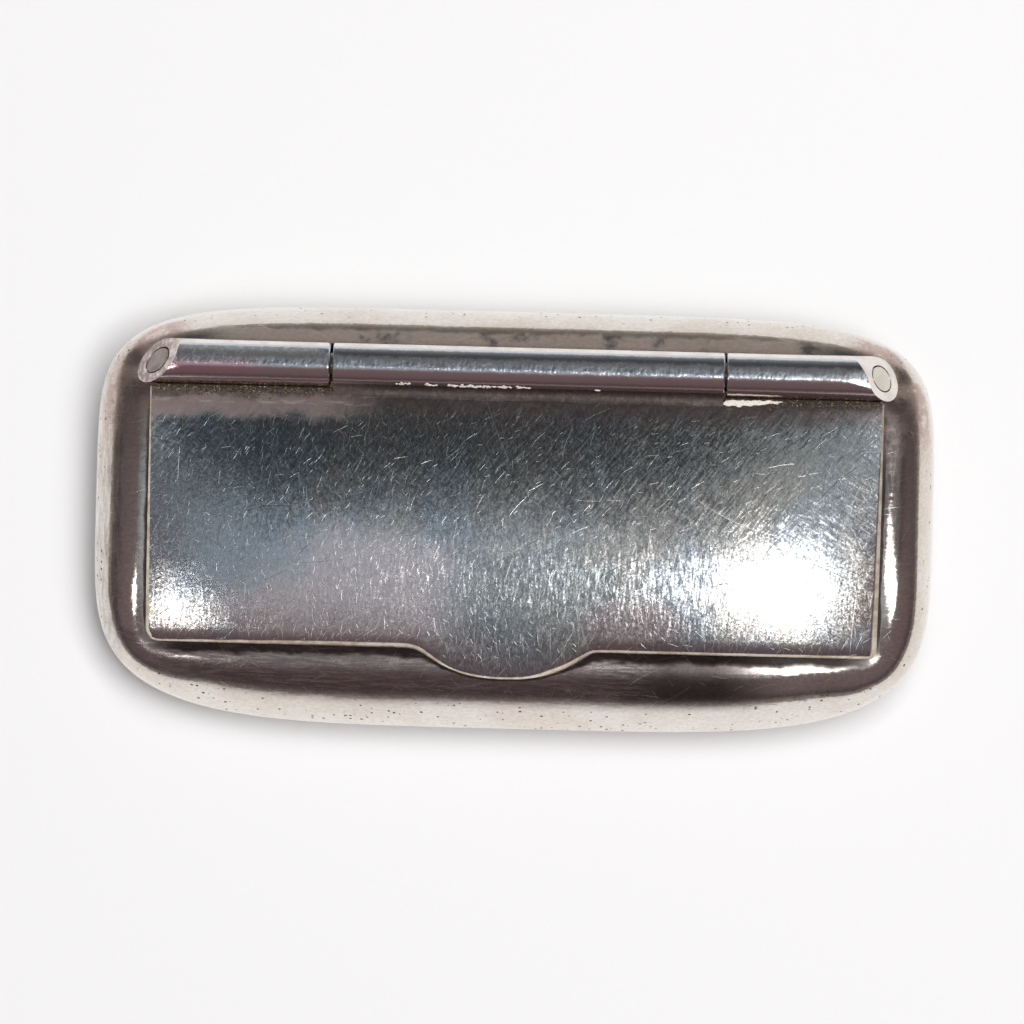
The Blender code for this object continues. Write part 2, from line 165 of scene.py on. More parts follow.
class HingeSizes(bpy.types.PropertyGroup):
    back_lean: turn("Back lean", "Slope of the filed flat along the barrel's back", 27)
    end_lean: turn("End lean", "Slope of the barrel's filed ends", 36)
    filed_depth: size("Filed depth", "How deep the flat at the back cuts the barrel", 0.03 * MM)
    left_rounding: size("Left rounding", "In plan, from the filed back to the left end", 0.8 * MM)
    right_rounding: size("Right rounding", "The same on the right", 1.6 * MM)
    left_mitre: turn("Left mitre", "How far the filed left end faces to the back", 25.4)
    right_mitre: turn("Right mitre", "How far the filed right end faces to the back", 15)
    left_setback: size("Left setback", "From the lid's end to the barrel's, on the axis", 0.5 * MM)
    right_setback: size("Right setback", "The same on the right", 0.25 * MM)
    left_wear: size("Left wear", "How far the barrel's top is worn down at its end", 0.36 * MM)
    right_wear: size("Right wear", "The same on the right", 0.36 * MM)
    left_wear_length: size("Left wear length", "Over what length it is worn there", 2.2 * MM)
    right_wear_length: size("Right wear length", "The same on the right", 3.0 * MM)
    left_wear_lean: turn("Left wear lean", "How far the worn place faces to the front", 8)
    right_wear_lean: turn("Right wear lean", "The same on the right", 4.5)
    wear_power: share("Wear power", "How late the wear sets in towards the ends", 1.5, 9)
    wear_round: size("Wear rounding", "Softness of the worn places' borders", 0.05 * MM)
    pin_clearance: size("Pin clearance", "Round the pin and the end plugs", 0.11 * MM)
    left_split: size("Left split", "Gap between the left and the centre knuckle", 0.2 * MM)
    right_split: size("Right split", "Gap between the centre and the right knuckle", 0.15 * MM)
    split_round: size("Split rounding", "Wear of the knuckles' edges at the splits", 0.12 * MM)
    trough_gap: size("Trough gap", "Between the barrel and the case's sheet", 0.07 * MM)
    fillet: size("Solder fillet", "How far the knuckle's solder reaches on to the lid", 0.5 * MM)
    fillet_top: turn("Fillet top", "How far up the barrel's front the solder reaches", 32)


class FinishColours(bpy.types.PropertyGroup):
    silver: colour("Silver", "Polished silver", (0.86, 0.81, 0.75))
    tarnish: colour("Tarnish", "Brown and mauve tarnish near the hinge", (0.36, 0.28, 0.27))
    haze: colour("Blue haze", "Thin blue-grey tarnish over the lid", (0.69, 0.735, 0.78))
    grime: colour("Grime", "Old polish and dirt in the joints", (0.045, 0.035, 0.028))
    gilding: colour("Gilding", "Worn gilding inside the box", (0.83, 0.62, 0.30))
    chalk: colour("Solder", "Pale residue along the solder", (0.80, 0.76, 0.70))
    brass_specks: colour("Specks", "Golden specks in the grime", (0.34, 0.26, 0.15))


class StageSettings(bpy.types.PropertyGroup):
    camera_height: size("Camera height", "Above the surface that the box stands on", 0.400)
    view_width: size("View width", "Width of the picture at the girdle", 0.0857)
    look_x: size("Look at X", "Where the picture's middle lies", -0.2 * MM)
    look_y: size("Look at Y", "Where the picture's middle lies", 0.7 * MM)
    roll: turn("Roll", "Turn of the camera, anticlockwise", 1.5)
    floor: colour("Floor", "Pale floor", (0.86, 0.86, 0.86))
    right_power: share("Right softbox", "Power of the softbox to the right, in watts", 0.68, 100)
    left_power: share("Left softbox", "Power of the softbox to the left, in watts", 0.18, 100)
    room_power: share("Room light", "Power of the light that only the floor shows", 9.9, 1000)


GROUPS = {
    "snuff_case": CaseSizes,
    "snuff_lid": LidSizes,
    "snuff_hinge": HingeSizes,
    "snuff_finish": FinishColours,
    "snuff_stage": StageSettings,
}


def arch_drop(t):
    """The crown's height over the lid's back edge, a share t of the way to the front edge."""
    return 4 * bpy.context.scene.snuff_lid.crown * t * (1 - t)


def lid_front_y():
    return LID_LOW.y + bpy.context.scene.snuff_lid.lobe_depth


def lid_share(y):
    return max((LID_BACK_Y - y) / (LID_BACK_Y - lid_front_y()), 0)


def crown(x, y):
    """Height of the lid's top face."""
    lid = bpy.context.scene.snuff_lid
    t = lid_share(y)
    fade = 1 - (1 - min(t, 1)) ** 3
    fall = lid.end_fall * abs(x / LID_HALF_LENGTH) ** lid.end_fall_power * fade
    return AXIS.z + lid.above_axis + arch_drop(t) - fall


def underside(x, y):
    return crown(x, y) - bpy.context.scene.snuff_lid.sheet


def rim_height(x, y):
    """Height of the case's rim, whose distance from the lid grows to the front."""
    case, lid = bpy.context.scene.snuff_case, bpy.context.scene.snuff_lid
    depth = LID_BACK_Y - lid_front_y()
    front_gap = case.lobe_gap - arch_drop(1 + lid.lobe_depth / depth)
    t = min(lid_share(y), 1)
    return underside(x, y) - case.side_gap - (front_gap - case.side_gap) * t**4


def contour_point(u, v, inset):
    """The case's outline in plan, drawn in by inset, at a place of the unit square."""
    case = bpy.context.scene.snuff_case
    a, b = BODY_LENGTH / 2 - inset, BODY_DEPTH / 2 - inset
    power = case.front_squareness if v < 0 else case.back_squareness
    corner = (1 + (b / a) ** (power / (power - 1))) ** (-1 / power)
    if abs(v) == 1:
        x = u * corner
        return Vector((a * x, v * b * (1 - abs(x) ** power) ** (1 / power)))
    y = v * corner * (b / a) ** (1 / (power - 1))
    return Vector((u * a * (1 - abs(y) ** power) ** (1 / power), b * y))


def unit_square(steps):
    """Places round a square of half side 1, anticlockwise, crowded together at its corners."""
    crowding = math.radians(75)
    long, short = steps * 7 // 24, steps * 5 // 24

    def places(count):
        angles = [crowding * (2 * step / count - 1) for step in range(count)]
        return [math.sin(angle) / math.sin(crowding) for angle in angles]

    front = [(place, -1) for place in places(long)]
    right = [(1, place) for place in places(short)]
    return front + right + [(-u, 1) for u, _ in front] + [(-1, -v) for _, v in right]


def rounded_corner(point, corner, radius):
    """Moves a point of a square corner onto rings round the corner's centre."""
    centre = Vector([side - math.copysign(radius, side) for side in corner])
    out = point - centre
    if out.x * corner.x <= 0 or out.y * corner.y <= 0:
        return point
    return centre + out * (max(abs(out.x), abs(out.y)) / out.length)


def rim_point(u, v):
    """The case's opening at a place of the unit square."""
    case = bpy.context.scene.snuff_case
    half_length = LID_HALF_LENGTH - case.overlap
    end_y = AXIS.y + BARREL_RADIUS / 2 if v > 0 else lid_front_y() + case.overlap
    radius = case.back_corner if v > 0 else case.front_corner
    corner = Vector((math.copysign(half_length, u), end_y))
    return rounded_corner(Vector((u * half_length, abs(v) * end_y)), corner, radius)


def smooth(value, low, high):
    """Goes smoothly from 0 to 1 as the value goes from low to high."""
    t = min(max((value - low) / (high - low), 0), 1)
    return t * t * (3 - 2 * t)


def above_zero(value, soft):
    """The value where it lies well above 0, and 0 well below, with a soft bend between them."""
    if value > SOFT_REACH * soft:
        return value
    return soft * math.log1p(math.exp(value / soft))


def wall_curve(t, run, rise):
    """How far the wall has turned in and how far it has climbed, a share t of the way up."""
    angle = t * QUARTER
    return 1 - max(math.cos(angle), 0) ** (2 / run), math.sin(angle) ** (2 / rise)


def end_dip(x, y):
    """How far the shoulder lies lower round the barrel's ends."""
    case, hinge = bpy.context.scene.snuff_case, bpy.context.scene.snuff_hinge
    setback = hinge.left_setback if x < 0 else hinge.right_setback
    across = (abs(x) - (LID_HALF_LENGTH - setback + case.dip_reach)) / case.dip_reach
    along = (y - AXIS.y) / case.dip_reach
    return case.end_dip * math.exp(-across * across - along * along)


def upper_ring(t, inset, square):
    """One level of the case above the girdle. The front and right walls have powers of their own."""
    case = bpy.context.scene.snuff_case
    ring = []
    for u, v in square:
        run = rise = case.fullness
        if v == -1:
            front = 1 - smooth(abs(u), 0.78, 1.02)
            run += (case.front_run - run) * front
            rise += (case.front_rise - rise) * front
        if u == 1:
            side = 1 - smooth(abs(v), 0.5, 1.0)
            run += (case.right_run - run) * side
            rise += (case.right_rise - rise) * side
        inward, climb = wall_curve(t, run, rise)
        girdle, rim = contour_point(u, v, inset), rim_point(u, v)
        top = rim_height(rim.x, rim.y) - inset
        x, y = girdle.lerp(rim, inward)
        ring.append((x, y, case.girdle + (top - case.girdle) * climb - end_dip(x, y)))
    return ring


def base_ring(t, inset, square):
    """One level of the case below the girdle, down to the flat base."""
    case = bpy.context.scene.snuff_case
    inward, climb = wall_curve(t, case.fullness, case.fullness)
    height = case.girdle - (case.girdle - inset) * climb
    return [(*contour_point(u, v, inset + case.foot * inward), height) for u, v in square]


def edges_round(bm, ring):
    return [bm.edges.get((ring[i - 1], ring[i])) for i in range(len(ring))]


def loft(rings, slots=None):
    """A closed body through rings of points, each extruded from the one before. slots gives the
    material slot of each ring's faces."""
    bm = bmesh.new()
    ring = bmesh.ops.create_circle(bm, cap_ends=True, segments=len(rings[0]), radius=1)["verts"]
    for vert, point in zip(ring, rings[0]):
        vert.co = point
    for level, points in enumerate(rings[1:]):
        made = bmesh.ops.extrude_edge_only(bm, edges=edges_round(bm, ring))["geom"]
        grown = {item for item in made if isinstance(item, bmesh.types.BMVert)}
        neighbours = [[edge.other_vert(vert) for edge in vert.link_edges] for vert in ring]
        ring = [(set(around) & grown).pop() for around in neighbours]
        for vert, point in zip(ring, points):
            vert.co = point
        for face in made:
            if isinstance(face, bmesh.types.BMFace) and slots:
                face.material_index = slots[level + 1]
    cap = bmesh.ops.contextual_create(bm, geom=edges_round(bm, ring))["faces"]
    for face in cap:
        face.material_index = slots[-1] if slots else 0
    bmesh.ops.recalc_face_normals(bm, faces=bm.faces)
    return bm


def thickened(bm):
    """Extrudes an open sheet into a second face, and gives the new vertices and faces."""
    grown = bmesh.ops.extrude_face_region(bm, geom=bm.faces[:])["geom"]
    verts = [item for item in grown if isinstance(item, bmesh.types.BMVert)]
    return verts, [item for item in grown if isinstance(item, bmesh.types.BMFace)]


def round_edges(bm, edges, width, segments):
    bmesh.ops.bevel(
        bm, geom=edges, offset=width, offset_type="OFFSET", affect="EDGES",
        segments=segments, profile=0.5, material=-1,
    )


def new_object(name, bm, materials=()):
    """An object at the origin that holds this mesh."""
    mesh = bpy.data.meshes.new(name)
    bm.to_mesh(mesh)
    bm.free()
    for material in materials:
        mesh.materials.append(material)
    made = bpy.data.objects.new(name, mesh)
    bpy.context.scene.collection.objects.link(made)
    return made


def shape_with(made, cutter, operation):
    """Cuts the object with the cutter, or keeps what both share, in the object's own mesh."""
    step = made.modifiers.new(operation.lower(), "BOOLEAN")
    step.operation = operation
    step.solver = "MANIFOLD"
    step.object = cutter
    bpy.context.view_layer.update()
    evaluated = made.evaluated_get(bpy.context.evaluated_depsgraph_get())
    mesh = bpy.data.meshes.new_from_object(evaluated)
    made.modifiers.clear()
    old, made.data = made.data, mesh
    bpy.data.meshes.remove(old)
    mesh.name = made.name


def place(made, body, slot, *replaced, sharp=30):
    """Shades a finished piece, and lets it ride on its body in place of the plain nodes."""
    made.data.shade_smooth()
    made.data.set_sharp_from_angle(angle=math.radians(sharp))
    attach(made, body)
    if replaced:
        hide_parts(*replaced)


def end_sizes(side, *names):
    """The sizes of one end of the hinge, by its side and their names."""
    hinge = bpy.context.scene.snuff_hinge
    return [getattr(hinge, side + "_" + name) for name in names]


def filed_end(rise, margin, side, steps=16):
    """Plan of one end of the barrel at a height above the axis, from its front to its back. It is
    given as if it lay on the right."""
    hinge = bpy.context.scene.snuff_hinge
    setback, mitre, radius = end_sizes(side, "setback", "mitre", "rounding")
    back_grown = margin / math.cos(hinge.back_lean) - rise * math.tan(hinge.back_lean)
    end_grown = margin / math.cos(hinge.end_lean) - rise * math.tan(hinge.end_lean)
    flat_y = AXIS.y + (BARREL_RADIUS - hinge.filed_depth) / math.cos(hinge.back_lean)
    back_y = flat_y + back_grown

    def end_x(y):
        grown = end_grown / math.cos(mitre)
        return LID_HALF_LENGTH - setback + grown - (y - AXIS.y) * math.tan(mitre)

    centre_y = back_y - radius
    centre_x = end_x(centre_y) - radius / math.cos(mitre)
    front_y = AXIS.y - 2.4 * BARREL_RADIUS
    outline = [(end_x(front_y), front_y)]
    for step in range(steps + 1):
        angle = mitre + (QUARTER - mitre) * step / steps
        outline.append((centre_x + radius * math.cos(angle), centre_y + radius * math.sin(angle)))
    return outline


def filed_block(margin, slot=0):
    """What the files leave of the barrel, or with a margin the room it needs. It gets smaller as it
    rises."""
    reach = 1.4 * BARREL_RADIUS
    rings = []
    for rise in (-reach, reach):
        left, right = filed_end(rise, margin, "left"), filed_end(rise, margin, "right")
        plan = right + [(-x, y) for x, y in reversed(left)]
        rings.append([(x, y, AXIS.z + rise) for x, y in plan])
    return new_object("filed_block", loft(rings, [slot] * len(rings)))


def rod(radius, left, right, segments=64):
    """A round bar on the hinge axis."""
    bm = bmesh.new()
    bmesh.ops.create_cone(
        bm, cap_ends=True, segments=segments, radius1=radius, radius2=radius, depth=right - left
    )
    bmesh.ops.rotate(bm, verts=bm.verts, cent=(0, 0, 0), matrix=Matrix.Rotation(QUARTER, 3, "Y"))
    bmesh.ops.translate(bm, verts=bm.verts, vec=((left + right) / 2, AXIS.y, AXIS.z))
    return bm


def barrel_ring(x, shrink, segments=128):
    """A section of the barrel, whose top is worn down towards the barrel's ends."""
    hinge = bpy.context.scene.snuff_hinge
    names = ("wear_length", "wear", "setback", "wear_lean")
    length, depth, setback, lean = end_sizes("left" if x < 0 else "right", *names)
    along = (abs(x) - (LID_HALF_LENGTH - setback)) / length + 1
    worn = min(depth * max(along, 0) ** hinge.wear_power, 0.5 * BARREL_RADIUS)
    soft = min(worn / 2, hinge.wear_round)
    ring = []
    for step in range(segments):
        angle = 2 * math.pi * step / segments
        bump = 0.006 * MM * noise.noise(Vector((x * 700, math.cos(angle), math.sin(angle))))
        radius = BARREL_RADIUS - shrink + min(bump, 0)
        out, rise = radius * math.cos(angle), radius * math.sin(angle)
        top = BARREL_RADIUS / math.cos(lean) - shrink - worn + out * math.tan(lean)
        if soft > MERGE:
            rise = top - above_zero(top - rise, soft)
        ring.append((x, AXIS.y + out, AXIS.z + rise))
    return ring


def knuckle(left, right, left_round, right_round):
    """A stretch of the barrel, with rounded edges where it meets another."""
    steps = 4
    angles = [QUARTER * step / steps for step in range(steps + 1)]
    turns = [(1 - math.cos(angle), 1 - math.sin(angle)) for angle in angles]
    middle = right - left - left_round - right_round
    count = round((right - left) / (0.4 * MM))
    rings = [barrel_ring(left + left_round * near, left_round * far) for near, far in turns]
    rings += [barrel_ring(left + left_round + middle * i / count, 0) for i in range(1, count)]
    rings += [barrel_ring(right - right_round * near, right_round * far) for far, near in turns]
    return loft(rings)


class Value:
    """What a shader node gives: a number, a vector or a colour. Arithmetic on it adds nodes."""

    def __init__(self, graph, socket):
        self.graph, self.socket = graph, socket

    def maths(self, operation, *others):
        kind = "Math" if self.socket.type == "VALUE" else "VectorMath"
        return self.graph.value(kind, dict(enumerate((self, *others))), operation=operation)

    def __add__(self, other):
        return self.maths("ADD", other)

    def __sub__(self, other):
        return self.maths("SUBTRACT", other)

    def __rsub__(self, other):
        return -self + other

    def __mul__(self, other):
        if self.socket.type == "VALUE" or isinstance(other, tuple):
            return self.maths("MULTIPLY", other)
        return self.graph.value("VectorMath", {0: self, "Scale": other}, operation="SCALE")

    def __truediv__(self, other):
        return self.maths("DIVIDE", other)

    def __pow__(self, other):
        return self.maths("POWER", other)

    def __neg__(self):
        return self * -1

    def __abs__(self):
        return self.maths("ABSOLUTE")

    def __or__(self, other):
        """The larger of two numbers."""
        return self.maths("MAXIMUM", other)

    def ease(self, low, high, start=0.0, end=1.0):
        """Goes smoothly from start to end as this number goes from low to high."""
        inputs = dict(enumerate((self, low, high, start, end)))
        return self.graph.value("MapRange", inputs, interpolation_type="SMOOTHSTEP")

    def band(self, low, high, soft):
        """1 between two values and 0 outside them, with soft edges."""
        return self.ease(low - soft, low + soft) * self.ease(high - soft, high + soft, 1, 0)

    def turned(self, angle):
        """This vector, turned round Z."""
        return self.graph.value("VectorRotate", {0: self, 3: angle}, rotation_type="Z_AXIS")

    def parts(self, kind="XYZ"):
        """The three numbers of this vector or colour."""
        return [Value(self.graph, part) for part in self.graph.add("Separate" + kind, {0: self}).outputs]


class Graph:
    """A material's node tree, with short calls for the nodes that the finishes share."""

    def __init__(self, name, tree=None):
        if tree is None:
            self.material = bpy.data.materials.new(name)
            self.material.use_nodes = True
            tree = self.material.node_tree
            self.shader = tree.nodes["Principled BSDF"].inputs
        self.tree = tree

    def feed(self, socket, value):
        if isinstance(value, Value):
            self.tree.links.new(value.socket, socket)
        elif socket.type == "RGBA":
            socket.default_value = (*value, 1)
        else:
            socket.default_value = value

    def add(self, kind, inputs=None, **settings):
        node = self.tree.nodes.new("ShaderNode" + kind)
        for key, value in settings.items():
            setattr(node, key, value)
        for key, value in (inputs or {}).items():
            self.feed(node.inputs[key], value)
        return node

    def value(self, kind, inputs=None, output=0, **settings):
        return Value(self, self.add(kind, inputs, **settings).outputs[output])

    def join(self, x, y, z):
        return self.value("CombineXYZ", {0: x, 1: y, 2: z})

    def blend(self, amount, first, second, way="MIX"):
        """Mixes two colours."""
        inputs = {0: amount, 6: first, 7: second}
        return self.value("Mix", inputs, 2, data_type="RGBA", blend_type=way)

    def ramp(self, value, stops):
        """A colour that changes with a value from 0 to 1, through stops of place and colour."""
        node = self.add("ValToRGB", {0: value})
        node.color_ramp.interpolation = "LINEAR"
        elements = node.color_ramp.elements
        for (where, tint), element in zip((stops[0], stops[-1]), elements):
            element.position, element.color = where, (*tint, 1)
        for where, tint in stops[1:-1]:
            elements.new(where).color = (*tint, 1)
        return Value(self, node.outputs[0])

    def noise(self, where, scale, detail=3, rough=0.5, output=0):
        inputs = {"Vector": where, "Scale": scale, "Detail": detail, "Roughness": rough}
        return self.value("TexNoise", inputs, output)

    def cells(self, where, scale, dimensions="3D"):
        """A cell pattern: how far its nearest point lies, that cell's three chances, and the point."""
        inputs = {"Vector": where, "Scale": scale, "Randomness": 1}
        given = self.add("TexVoronoi", inputs, voronoi_dimensions=dimensions).outputs
        away, chances, point = [Value(self, given[name]) for name in ("Distance", "Color", "Position")]
        return away, chances.parts("Color"), point

    def place_mm(self):
        """The place on the piece, in millimetres."""
        return self.value("TexCoord", output="Object") * (1 / MM)

    def finish(self, tint, roughness, tilts=(), metallic=1):
        """The finished material. The tilts lean its normal and are in the piece's own axes."""
        for name, value in (("Base Color", tint), ("Roughness", roughness), ("Metallic", metallic)):
            self.feed(self.shader[name], value)
        if tilts:
            way = {"vector_type": "VECTOR", "convert_from": "OBJECT", "convert_to": "WORLD"}
            leaned = self.value("VectorTransform", {0: sum(tilts[1:], tilts[0])}, **way)
            normal = self.value("NewGeometry", output="Normal")
            self.feed(self.shader["Normal"], (normal + leaned).maths("NORMALIZE"))
        return self.material


def scratches(where, cell, length, width, amount, heading, spread, drift):
    """Grooves seen from above, at most one in each cell of a pattern, in millimetres. Their common
    heading drifts from place to place. It returns their mask, and the tilt across them."""
    graph = where.graph
    spot = where * (1 / cell)
    _, chance, centre = graph.cells(spot, 1, "2D")
    sway = graph.noise(centre * cell, 0.05, 1, 0.5) - 0.5
    angle = chance[0] * spread + (sway * drift + (heading - spread / 2))
    x, y, _ = (spot - centre).turned(-angle).parts()
    bent = x * x * chance[2].ease(0, 1, -0.25, 0.25) + y
    across = bent / (chance[2].ease(0, 1, 0.5, 1) * (width / 2 / cell))
    groove = abs(across).ease(0.45, 1.0, 1, 0)
    reach = chance[1].ease(0, 1, 0.35 * length / 2 / cell, length / 2 / cell)
    ends = (abs(x) / reach).ease(0.5, 1.0, 1, 0)
    kept = (chance[0] * 7.31).maths("FRACT").maths("LESS_THAN", amount)
    mask = groove * ends * kept
    side = chance[1].ease(0.2, 0.8, -1, 1) * mask
    return mask, graph.join(0.0, side, 0.0).turned(angle)


def many_scratches(where, layers):
    """Several layers of scratches: one mask and a list of tilts. Each layer gives its cell, length,
    width, share of cells, depth, heading, spread and drift, in millimetres and degrees."""
    whole, tilts = None, []
    for number, (cell, length, width, amount, depth, *angles) in enumerate(layers):
        moved = where + (17.3 * number, 9.1 * number, 0)
        mask, tilt = scratches(moved, cell, length, width, amount, *map(math.radians, angles))
        whole = whole | mask if whole else mask
        tilts.append(tilt * depth)
    return whole, tilts


def grain_tilt(where, scale, amount):
    """A fine unevenness of the surface, as a tilt."""
    return (where.graph.noise(where, scale, 2, 0.6, output=1) - (0.5, 0.5, 0.5)) * amount


def hairlines(where, heading, fine, length, amount):
    """A grain of hairlines at a heading in degrees, as a tilt across them. It has fine lines to a
    millimetre, each about length long, and amount can be a number or vary over the surface."""
    angle = math.radians(heading)
    along = where.turned(-angle) * (1 / length, fine, 1.0)
    side = (where.graph.noise(along, 1.0, 2, 0.6) - 0.5) * amount
    return where.graph.join(0.0, side, 0.0).turned(angle)


def oval(x, y, centre, reach, uneven):
    """1 in the middle of an oval patch, fading out to 0 past its ragged edge."""
    across, along = (x - centre[0]) / reach[0], (y - centre[1]) / reach[1]
    return (across * across + along * along + uneven).ease(0.45, 1.35, 1, 0)


def ahead_of_lid(x, y):
    """How far a place lies in front of the lid's front edge, and how far the thumbpiece reaches
    there, in millimetres."""
    lid = bpy.context.scene.snuff_lid
    off = abs(x + lid.lobe_shift / MM) * (2 * MM / lid.lobe_length)
    reach = (1.0 - off**lid.lobe_power) * (lid.lobe_depth / MM) | 0.0
    return lid_front_y() / MM - (y + reach), reach


def lid_finish():
    """Silver with countless fine scratches in every direction, hazed blue-grey, brown at the hinge, with
    painted reflections and painted shade over the dome.
    """
    finish = bpy.context.scene.snuff_finish
    graph = Graph("lid_silver_scratched_painted_reflections")
    where = graph.place_mm()
    x, y, _ = where.parts()
    mask, tilts = many_scratches(where, [
        (0.60, 1.20, 0.060, 0.80, 0.16, 80, 120, 200),
        (1.10, 2.20, 0.060, 0.80, 0.18, 75, 90, 300),
        (1.90, 3.60, 0.065, 0.70, 0.20, 65, 80, 300),
        (3.50, 6.00, 0.070, 0.50, 0.22, 40, 70, 300),
        (8.00, 12.0, 0.090, 0.50, 0.22, 120, 100, 0),
    ])
    mirror = x.ease(-20, -24) | x.ease(15, 21)
    front = (x * 0.12 + y).ease(3.0, -1.0)
    back = 1.0 - front
    front = front * mirror.ease(0, 1, 1, 0.45)
    tilts += [
        grain_tilt(where, 5.5, 0.14),
        grain_tilt(where, 0.5, 0.04),
        hairlines(where, 86, 5.5, 1.0, front * 0.18),
        hairlines(where, 99, 4.5, 1.6, front * 0.13),
        hairlines(where, 52, 5.5, 1.2, back * 0.24),
        hairlines(where, 150, 5.0, 1.1, back * 0.16),
        hairlines(where, 20, 5.0, 1.2, x.ease(-8, -20) * 0.05),
    ]

    wander = graph.noise(where, 0.35, 4, 0.6) - 0.5
    edge = wander * 2.6 + y
    strip, dirt = edge.ease(7.8, 9.2), edge.ease(9.3, 9.9)
    cloud = graph.noise(where, 0.13, 3, 0.5).ease(0.38, 0.62)
    tint = graph.blend(cloud, finish.silver[:], finish.haze[:])
    ragged = wander * 1.6
    # Painted reflection: a mauve patch over the lower left of the dome.
    mauve = oval(x, y, (-14, -6.5), (11, 6), ragged)
    tint = graph.blend(mauve * 0.9, tint, (0.96, 0.855, 0.865))
    # Painted reflection tones: a darker grey patch in the middle, a bluish patch left of the highlight
    # and a pink patch by the thumbpiece.
    for centre, reach, amount, patch in (
        ((2.5, -6.8), (9, 4.4), 0.6, (0.50, 0.55, 0.57)),
        ((-25, 0.5), (9, 8), 0.8, (0.56, 0.65, 0.73)),
        ((10, -8.6), (5, 2.2), 0.6, (0.72, 0.58, 0.58)),
    ):
        tint = graph.blend(oval(x, y, centre, reach, ragged) * amount, tint, patch)
    # Painted shade: the dome darker and bluer towards the back, for the dark room that it mirrors there.
    tint = graph.blend(edge.ease(2.0, 7.0) * 0.5, tint, (0.52, 0.60, 0.64))
    streaks = graph.noise(where * (5.5, 2.6, 1.0), 1.0, 3, 0.7).ease(0.30, 0.70, 0.5, 1.0)
    tint = graph.blend((mauve | mirror).ease(0, 1, 1.0, 0.5), tint, streaks, "MULTIPLY")
    ahead, reach = ahead_of_lid(x, y)
    # Painted shade: a dark band along the front edge where the dome rolls down, for what that edge
    # mirrors.
    rolled_edge_shade = (wander * 0.8 + ahead).ease(-1.15, -0.35) * reach.ease(0, 2, 1.0, 0.35)
    tint = graph.blend(rolled_edge_shade * 0.6, tint, (0.42, 0.33, 0.35))
    # The scratches paler where tarnish is rubbed off, and also as painted glints.
    tint = graph.blend(mask * 0.6, tint, (0.95, 0.95, 0.93))
    tint = graph.blend(strip * 0.7, tint, finish.tarnish[:])
    pale = edge.ease(7.4, 8.6) * x.ease(-10, -17)
    tint = graph.blend(pale * 0.7, tint, (0.62, 0.48, 0.44))
    specks = graph.noise(where, 2.6, 3, 0.7).ease(0.50, 0.62)
    dirty = graph.blend(specks, (0.16, 0.12, 0.10), (0.34, 0.26, 0.18))
    tint = graph.blend(dirt * 0.6, tint, dirty)
    streak = graph.noise(where * (0.9, 5.0, 1.0), 1.0, 3, 0.6).ease(0.45, 0.6)
    worn = y.band(9.1, 9.4, 0.12) * streak * x.ease(-14, -11, 1, 0)
    tint = graph.blend(worn, tint, (0.80, 0.72, 0.68))

    roughness = graph.noise(where, 1.6, 3, 0.7).ease(0.3, 0.7, 0.14, 0.20) + mask * 0.16
    roughness = roughness + strip * 0.14 + pale * 0.22 + (dirt | worn) * 0.20
    return graph.finish(tint, roughness, tilts, 1.0 - (pale | worn) * 0.12)


